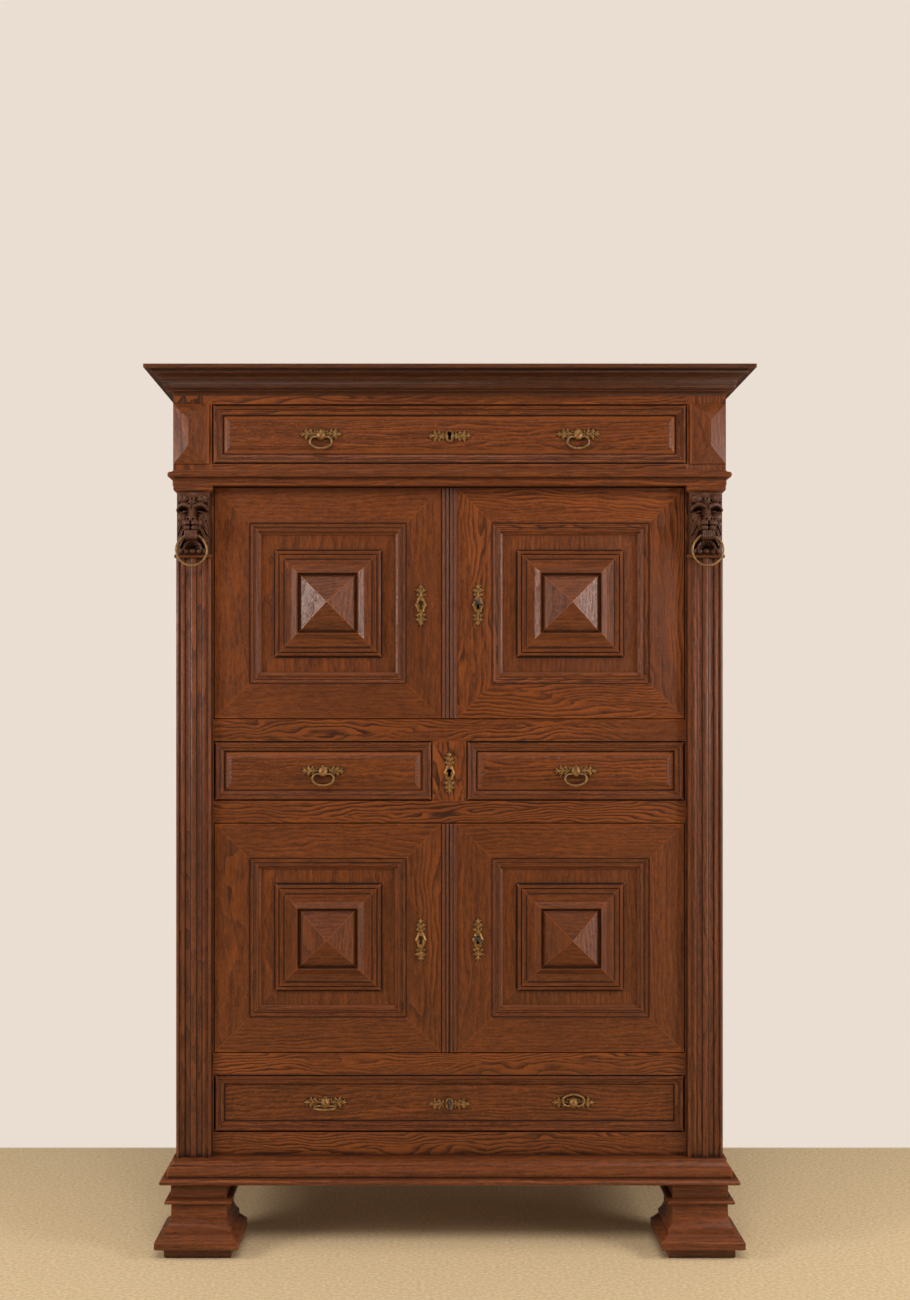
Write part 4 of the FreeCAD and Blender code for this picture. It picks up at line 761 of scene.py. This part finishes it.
def make_lions():
    u, v = grid(36.5, 0.4, 138.6, 0.6)
    height = np.pad(lion_height(u, v), 1, constant_values=-15.0)
    u, v = np.pad(u, 1, mode="edge"), np.pad(v, 1, mode="edge")
    halves = relief(u, v, height, -15.5), lion_jaw()
    parts = [
        (faced(points, x, pilaster_front, lion_foot), faces)
        for x in (-1000 * x_pilaster, 1000 * x_pilaster) for points, faces in halves
    ]
    oak = wood("lion_oak", finish="carved", along="z", figure=0.2)
    lions = mesh_piece("lion_carving", *joined(parts), oak, 40)
    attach(lions, body_of_node["lion_masks"])
    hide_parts("lion_masks")


make_lions()


# Brass and keys

plate_half, plate_edge, plate_cell = 49.6, 15.6, 0.4
bail_drop, bail_stand = 6.5, 6    # pivot below the boss centre, and before the seat


def wing_height(a, b):
    """One leafy wing along a, symmetric about b = 0: a stem, side leaves and a pointed flower."""
    parts = [
        ridge(a, b, ((8, 0, 3.3, 3.0), (40, 0, 3.6, 2.8)), 1.2),
        ridge(a, b, ((14.0, 0, 3.3, 1.7), (14.0, 6.0, 3.2, 1.7)), 2.0),
        dome(a, b, (14.0, 6.6), (2.4, 2.2), 3.4, 3.5),
        ridge(a, b, ((18.0, 0, 3.3, 1.5), (18.0, 4.6, 3.0, 1.5)), 2.1),
        ridge(a, b, ((20, 1.5, 3.2, 2.4), (22, 5.5, 3.4, 2.6), (23.4, 10.8, 2.9, 1.6)), 1.3),
        dome(a, b, (25.6, 6.6), (2.6, 2.4), 3.4, 3.6), dome(a, b, (20.6, 8.2), (1.9, 1.9), 3.0, 3.2),
        ridge(a, b, ((28, 1.0, 3.6, 2.6), (31.5, 5.0, 4.4, 3.6), (34, 12.8, 2.8, 1.2)), 1.1),
        ridge(a, b, ((31, 2, 4.2, 2.6), (36.8, 6.6, 3.2, 1.8)), 1.5),
        dome(a, b, (39, 0), (5.0, 4.6), 5.0, 5.0),
        ridge(a, b, ((40, 1, 4.2, 2.6), (43.6, 5.8, 2.8, 1.4)), 1.5),
        ridge(a, b, ((42, 0, 4.6, 3.4), (47.6, 0, 2.6, 1.3)), 1.3),
    ]
    high = np.maximum.reduce(parts)
    for vein in (((28, 2), (31.5, 6), (33.6, 12)), ((20, 2), (22.3, 7), (23.4, 10.5))):
        high = high - groove(a, b, vein, 0.5, 0.7)
    return high - groove(a, b, ((36.4, 0), (36.4, 3.4)), 0.6, 1.0) - pit(a, b, (39, 0), 0.9, 1.0)


def pull_height(u, v):
    """Pull plate: wings that are low under the bail, and an egg boss between the bail's lugs."""
    a, b = np.abs(u), np.abs(v)
    high = wing_height(a, b)
    high = np.where((a > 11) & (a < 28), np.minimum(high, 3.4), high)
    places = np.linspace(-17, 17, 341)
    radius = np.interp(places, (-14.6, -11.6, -5.8, 0, 7.5, 14.6), (0, 6.8, 10.0, 10.5, 7.8, 0.2))
    radius = np.convolve(radius, np.ones(31) / 31, "same")
    radius = np.interp(v, places, radius + 0.35) * (b < 14.7)
    boss = np.where(radius > a, np.sqrt(np.clip(radius ** 2 - a ** 2, 0, None)) + 0.2, nothing)
    boss = boss - groove(a, v, ((4.4, -11), (6.6, -4), (6.6, 1), (4.4, 7.5), (0, 12)), 0.7, 0.7)
    lug = dome(a, v, (8.8, -6.5), (2.7, 3.2), 8.4, 8.6)
    ear = ridge(a, v, ((7, 7.5, 3.0, 2.2), (11.5, 5.2, 2.8, 1.8)), 1.6)
    return np.maximum.reduce([high, boss, lug, ear])


def escutcheon_height(u, v, upright):
    """Keyhole plate and the distance to its hole: wings along v round a hexagon if upright, else along u."""
    a, b = np.abs(u), np.abs(v)
    along, across = (b, a) if upright else (a, b)
    wings = wing_height(along, across)
    for place, half in ((12.6, 8.2), (15.4, 7.2)):
        bar = 4.4 - 1.6 * ((along - place) / 1.15) ** 2 - 0.02 * across ** 2
        wings = np.maximum(wings, np.where((np.abs(along - place) < 1.5) & (across < half), bar, nothing))
    if upright:
        edge = 1 - a / 13.4 - b / 31
        body = np.where((edge > 0) & (b < 14.7), np.minimum(2.2 + 9 * edge, 4.9), nothing)
        body = np.where(b > 13.2, np.minimum(body, 4.4), body)
    else:
        edge = 1 - np.hypot(a / 10.4, b / 14.9)
        body = np.where(edge > 0, np.minimum(1.6 + 26 * edge, 5.0) - (edge > 0.2), nothing)
    eye_v, eye_radius, slot_half, slot_foot = 4, 5, 2.8, -9
    slot = np.maximum(a - slot_half, np.maximum(v - eye_v, slot_foot - v))
    hole = np.minimum(np.hypot(u, v - eye_v) - eye_radius, slot)
    rim = np.where((hole < 1.5) & (body > nothing), 5.0, nothing)
    return np.maximum.reduce([wings, body, rim]), hole


def drawn_in(u, v, high, reach):
    """Grid points below the seat, moved to where the relief meets it, so that its outline is smooth."""
    rise_v, rise_u = np.gradient(high)
    slope = np.maximum(rise_u ** 2 + rise_v ** 2, 1e-6)
    step = np.where(high < 0, np.minimum(-high / slope, reach / np.sqrt(slope)), 0)
    cell = u[0, 1] - u[0, 0]
    return u + step * rise_u * cell, v + step * rise_v * cell


def plate_piece(name, node, place, field, high, hole=None):
    """One cast relief laid on a plate of a node, at (x, z, seat)."""
    x, z, seat = place
    sunk = -1.6
    high = eased(np.maximum(high, sunk), 2)
    if hole is not None:
        high = np.where(hole < 0.1, np.maximum(hole * 8, sunk) - 0.01, high)
    points, faces = relief(*drawn_in(*field, high, 1.0), high, 0.0)
    piece = mesh_piece(name, faced(points, x, seat, z), faces, brass, 50)
    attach(piece, body_of_node[node])


pull_rows = {
    # row: half distance of the pulls, height of the plates, y of their seat, lifts of the bails in degrees
    "top": (288, 1838, -244, (0, 0)),
    "middle": (285, 1082.5, -224, (0, 0)),
    "bottom": (280.5, 332, -217, (90, 180)),
}


def make_pulls():
    field = grid(plate_half, -plate_edge, plate_edge, plate_cell)
    high = pull_height(*field)
    for row, (half, z, seat, lifts) in pull_rows.items():
        for side, x, lift in (("left", -half, lifts[0]), ("right", half, lifts[1])):
            drawer = "middle_%s_drawer" % side if row == "middle" else row + "_drawer"
            plate_piece("%s_%s_pull_relief" % (row, side), drawer + "_plates", (x, z, seat), field, high)
            make_bail("%s_%s_bail" % (row, side), x, z - bail_drop, seat - bail_stand, lift)


def make_bail(node, x, z, y, lift):
    """Bail: pins, round shoulders and a flat bottom arc, a little stouter at its middle."""
    pin, shoulder, bottom = 13.2, 11, 34.78
    meet, drop = math.radians(-56.3), 8.78
    half = [(u, 0.0) for u in (3.5, 6.5, 9.5, 10.4, 11.2, 12.0, pin)]
    for t in np.linspace(math.pi / 2, meet, 22)[1:]:
        half.append((pin + shoulder * math.cos(t), -shoulder + shoulder * math.sin(t)))
    for t in np.linspace(meet, -math.pi / 2, 16)[1:]:
        half.append((bottom * math.cos(t), drop + bottom * math.sin(t)))
    radii = [1.7, 1.7, 1.7, 2.5, 2.6, 2.2, 2.2] + [2.1 + 0.35 * i / 36 for i in range(36)]
    path = np.array(half + [(-u, v) for u, v in half[-2::-1]])
    turn = math.radians(-lift)
    points = np.stack([path[:, 0], -path[:, 1] * math.sin(turn), path[:, 1] * math.cos(turn)], -1)
    side = (0.0, math.cos(turn), math.sin(turn))
    points, faces = tube(points + np.array((x, y, z)), radii + radii[-2::-1], side)
    piece = mesh_piece(node + "_cast", points, faces, ring_brass, 60)
    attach(piece, body_of_node[node])
    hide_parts(node)


def make_escutcheons():
    field = grid(plate_half, -plate_edge, plate_edge, plate_cell)
    high, hole = escutcheon_height(*field, False)
    for node, z, seat in (("top_drawer_plates", 1834, -244), ("bottom_drawer_plates", 328, -217)):
        plate_piece(node.replace("plates", "escutcheon_relief"), node, (0, z, seat), field, high, hole)
    field = grid(plate_edge, -plate_half, plate_half, plate_cell)
    high, hole = escutcheon_height(*field, True)
    for node, x, z in (
        ("lower_left_door_fittings", -64.5, 702), ("lower_right_door_fittings", 64.5, 702),
        ("upper_left_door_fittings", -64.5, 1457), ("upper_right_door_fittings", 64.5, 1457),
        ("centre_lock", 0, 1078.5),
    ):
        name = node.replace("fittings", "escutcheon").replace("lock", "escutcheon") + "_relief"
        plate_piece(name, node, (x, z, 1000 * y_face), field, high, hole)


def make_key(node, x, z, y_front, y_tip, angle):
    """Key: turned shaft with collars, a flattened oval bow at an angle from upright, and a bit with wards."""
    collars = ((-1.0, 3.4), (0.6, 3.6), (1.6, 2.8), (3, 2.9), (3.2, 4.1), (3.9, 4.4), (5.1, 4.4), (5.8, 4.1),
               (6, 3.0), (7.4, 3.4), (8.4, 2.8))
    profile = [(y_front + y, radius) for y, radius in collars] + [(y_tip - 0.6, 2.8), (y_tip, 2.3)]
    across = np.array((math.sin(math.radians(angle)), 0.0, math.cos(math.radians(angle))))
    bow_deep, bow_half = 8.1, 11.1
    centre = np.array((x, y_front - bow_deep, z))
    turns = np.linspace(0, 2 * math.pi, 56, endpoint=False)
    bow = [centre + across * bow_half * math.cos(t) + (0, -bow_deep * math.sin(t), 0) for t in turns]
    stout = [2.0 + 0.4 * abs(math.cos(t)) for t in turns]
    ring = tube(bow, stout, np.cross(across, (0, -1, 0)), closed=True, sides=14)
    outer = [(y_tip - 5, z - 10.4), (y_tip - 3.2, z - 10.4), (y_tip - 3.2, z - 7.8), (y_tip - 2.2, z - 7.8),
             (y_tip - 2.2, z - 10.4), (y_tip, z - 10.4), (y_tip, z - 1.5), (y_tip - 5, z - 1.5)]
    bit = np.array([(x + s * 1.3, y, up) for s in (-1, 1) for y, up in outer])
    n = len(outer)
    bit_faces = [list(range(n))[::-1], list(range(n, 2 * n))]
    bit_faces += [[i, (i + 1) % n, n + (i + 1) % n, n + i] for i in range(n)]
    points, faces = joined([turned(profile, x, z), ring, (bit, bit_faces)])
    piece = mesh_piece(node + "_forged", points, faces, steel, 50)
    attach(piece, body_of_node[node])
    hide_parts(node)


def make_rings():
    """Wire rings in the lions' jaws, each with a small knob near its foot."""
    y, knob = -261, math.radians(162)
    turns = np.linspace(0, 2 * math.pi, 120, endpoint=False)
    radii = [2.3 + 0.35 * math.exp(-((t - knob) / 0.045) ** 2) for t in turns]
    for x, node in ((-1000 * x_pilaster, "left_ring"), (1000 * x_pilaster, "right_ring")):
        path = [(x + ring_radius * math.sin(t), y, ring_z + ring_radius * math.cos(t)) for t in turns]
        points, faces = tube(path, radii, (0, 1, 0), closed=True, sides=18)
        piece = mesh_piece(node + "_drawn", points, faces, ring_brass, 60)
        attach(piece, body_of_node[node])
        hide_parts(node)


make_pulls()
make_escutcheons()
make_key("upper_right_door_key", 64.5, 1461, -240, -200, 123)
make_key("lower_right_door_key", 64.5, 706, -240, -200, 123)
make_key("bottom_drawer_key", 0, 332, -231, -201, 0)
make_rings()


# Floor, background, light and camera, in metres again

cream = (0.823, 0.731, 0.644)
carpet_end = 0.386    # y where the carpet meets the wall's colour


def make_floor():
    mesh = bpy.data.meshes.new("floor")
    size = 30.0
    corners = [(-size, -size, 0), (size, -size, 0), (size, size, 0), (-size, size, 0)]
    mesh.from_pydata(corners, [], [(0, 1, 2, 3)])
    floor = bpy.data.objects.new("floor", mesh)
    bpy.context.scene.collection.objects.link(floor)
    material, tree = new_material("floor_woven")
    place = add(tree, "TexCoord").outputs["Object"]
    place_y = add(tree, "SeparateXYZ", {0: place}).outputs[1]
    weave = noise(tree, place, (110.0, 170.0, 1.0), 4.0, 0.7)
    patches = noise(tree, place, (2.5, 2.5, 1.0), 3.0)
    carpet = blend(tree, ramp(tree, weave, 0.2, 0.8), (0.50, 0.36, 0.20), (1.0, 0.80, 0.50))
    carpet = blend(tree, calc(tree, "MULTIPLY", patches, 0.35), carpet, (0.78, 0.55, 0.32))
    beyond = ramp(tree, place_y, carpet_end, carpet_end + 0.01)
    colour = blend(tree, beyond, carpet, (0.74, 0.66, 0.57))
    bump = add(tree, "Bump", {"Height": weave, "Strength": 0.5, "Distance": 0.003})
    diffuse = add(tree, "BsdfDiffuse", {"Color": colour, "Normal": bump.outputs[0]})

    # the camera sees plain cream behind the cupboard and far off, and the shadow near it
    radius = add(tree, "VectorMath", {0: place}, operation="LENGTH").outputs["Value"]
    wall = calc(tree, "MULTIPLY", beyond, ramp(tree, radius, 0.40, 0.84))
    plain = calc(tree, "MAXIMUM", ramp(tree, radius, 1.6, 3.2), wall)
    camera_ray = add(tree, "LightPath").outputs["Is Camera Ray"]
    glow = add(tree, "Emission", {"Color": opaque(cream)})
    close(tree, add(tree, "MixShader", {
        0: calc(tree, "MULTIPLY", plain, camera_ray), 1: diffuse.outputs[0], 2: glow.outputs[0],
    }))
    mesh.materials.append(material)


def make_world():
    world = bpy.data.worlds.new("studio")
    world.use_nodes = True
    tree = world.node_tree
    tree.nodes.clear()
    paths = add(tree, "LightPath").outputs
    seen = calc(tree, "MAXIMUM", paths["Is Camera Ray"], paths["Is Transmission Ray"])
    around = blend(tree, paths["Is Glossy Ray"], (0.23, 0.219, 0.207), (0.10, 0.09, 0.08))
    colour = blend(tree, seen, around, cream)
    background = add(tree, "Background", {"Color": colour, "Strength": 1.0})
    output = tree.nodes.new("ShaderNodeOutputWorld")
    tree.links.new(background.outputs[0], output.inputs["Surface"])
    bpy.context.scene.world = world


def area_light(name, place, target, size, power, glossy=True):
    light = bpy.data.lights.new(name, "AREA")
    light.shape = "RECTANGLE"
    light.size, light.size_y = size
    light.energy = power
    light.color = (1.0, 0.96, 0.92)
    lamp = bpy.data.objects.new(name, light)
    lamp.location = place
    lamp.rotation_euler = (Vector(target) - Vector(place)).to_track_quat("-Z", "Y").to_euler()
    lamp.visible_glossy = glossy
    bpy.context.scene.collection.objects.link(lamp)


def make_camera():
    data = bpy.data.cameras.new("camera")
    data.sensor_width = 36.0
    data.lens = 32.15
    data.shift_x = 0.0192
    data.shift_y = 0.0462
    camera = bpy.data.objects.new("camera", data)
    camera.location = (-0.0437, -2.846, 1.220)
    camera.rotation_euler = (math.pi / 2, 0, 0)
    bpy.context.scene.collection.objects.link(camera)
    bpy.context.scene.camera = camera


make_floor()
make_world()
# windows at both sides, whose sheen lies on the pyramids, and a soft light from the front
area_light("left_light", (-2.65, -1.34, 1.70), (-0.2, -0.2, 1.2), (0.65, 0.95), 36)
area_light("right_light", (2.65, -1.24, 1.70), (0.2, -0.2, 1.2), (0.65, 0.95), 36)
area_light("front_light", (0.0, -2.8, 3.7), (0.0, 0.0, 0.9), (2.4, 1.0), 62, glossy=False)
area_light("low_light", (2.65, -1.24, 0.36), (0.3, -0.2, 0.7), (0.65, 0.45), 7)
area_light("top_light", (0.0, -1.15, 3.6), (0.0, -0.3, 1.2), (2.6, 0.8), 12)
make_camera()
bpy.context.scene.view_settings.view_transform = "Standard"
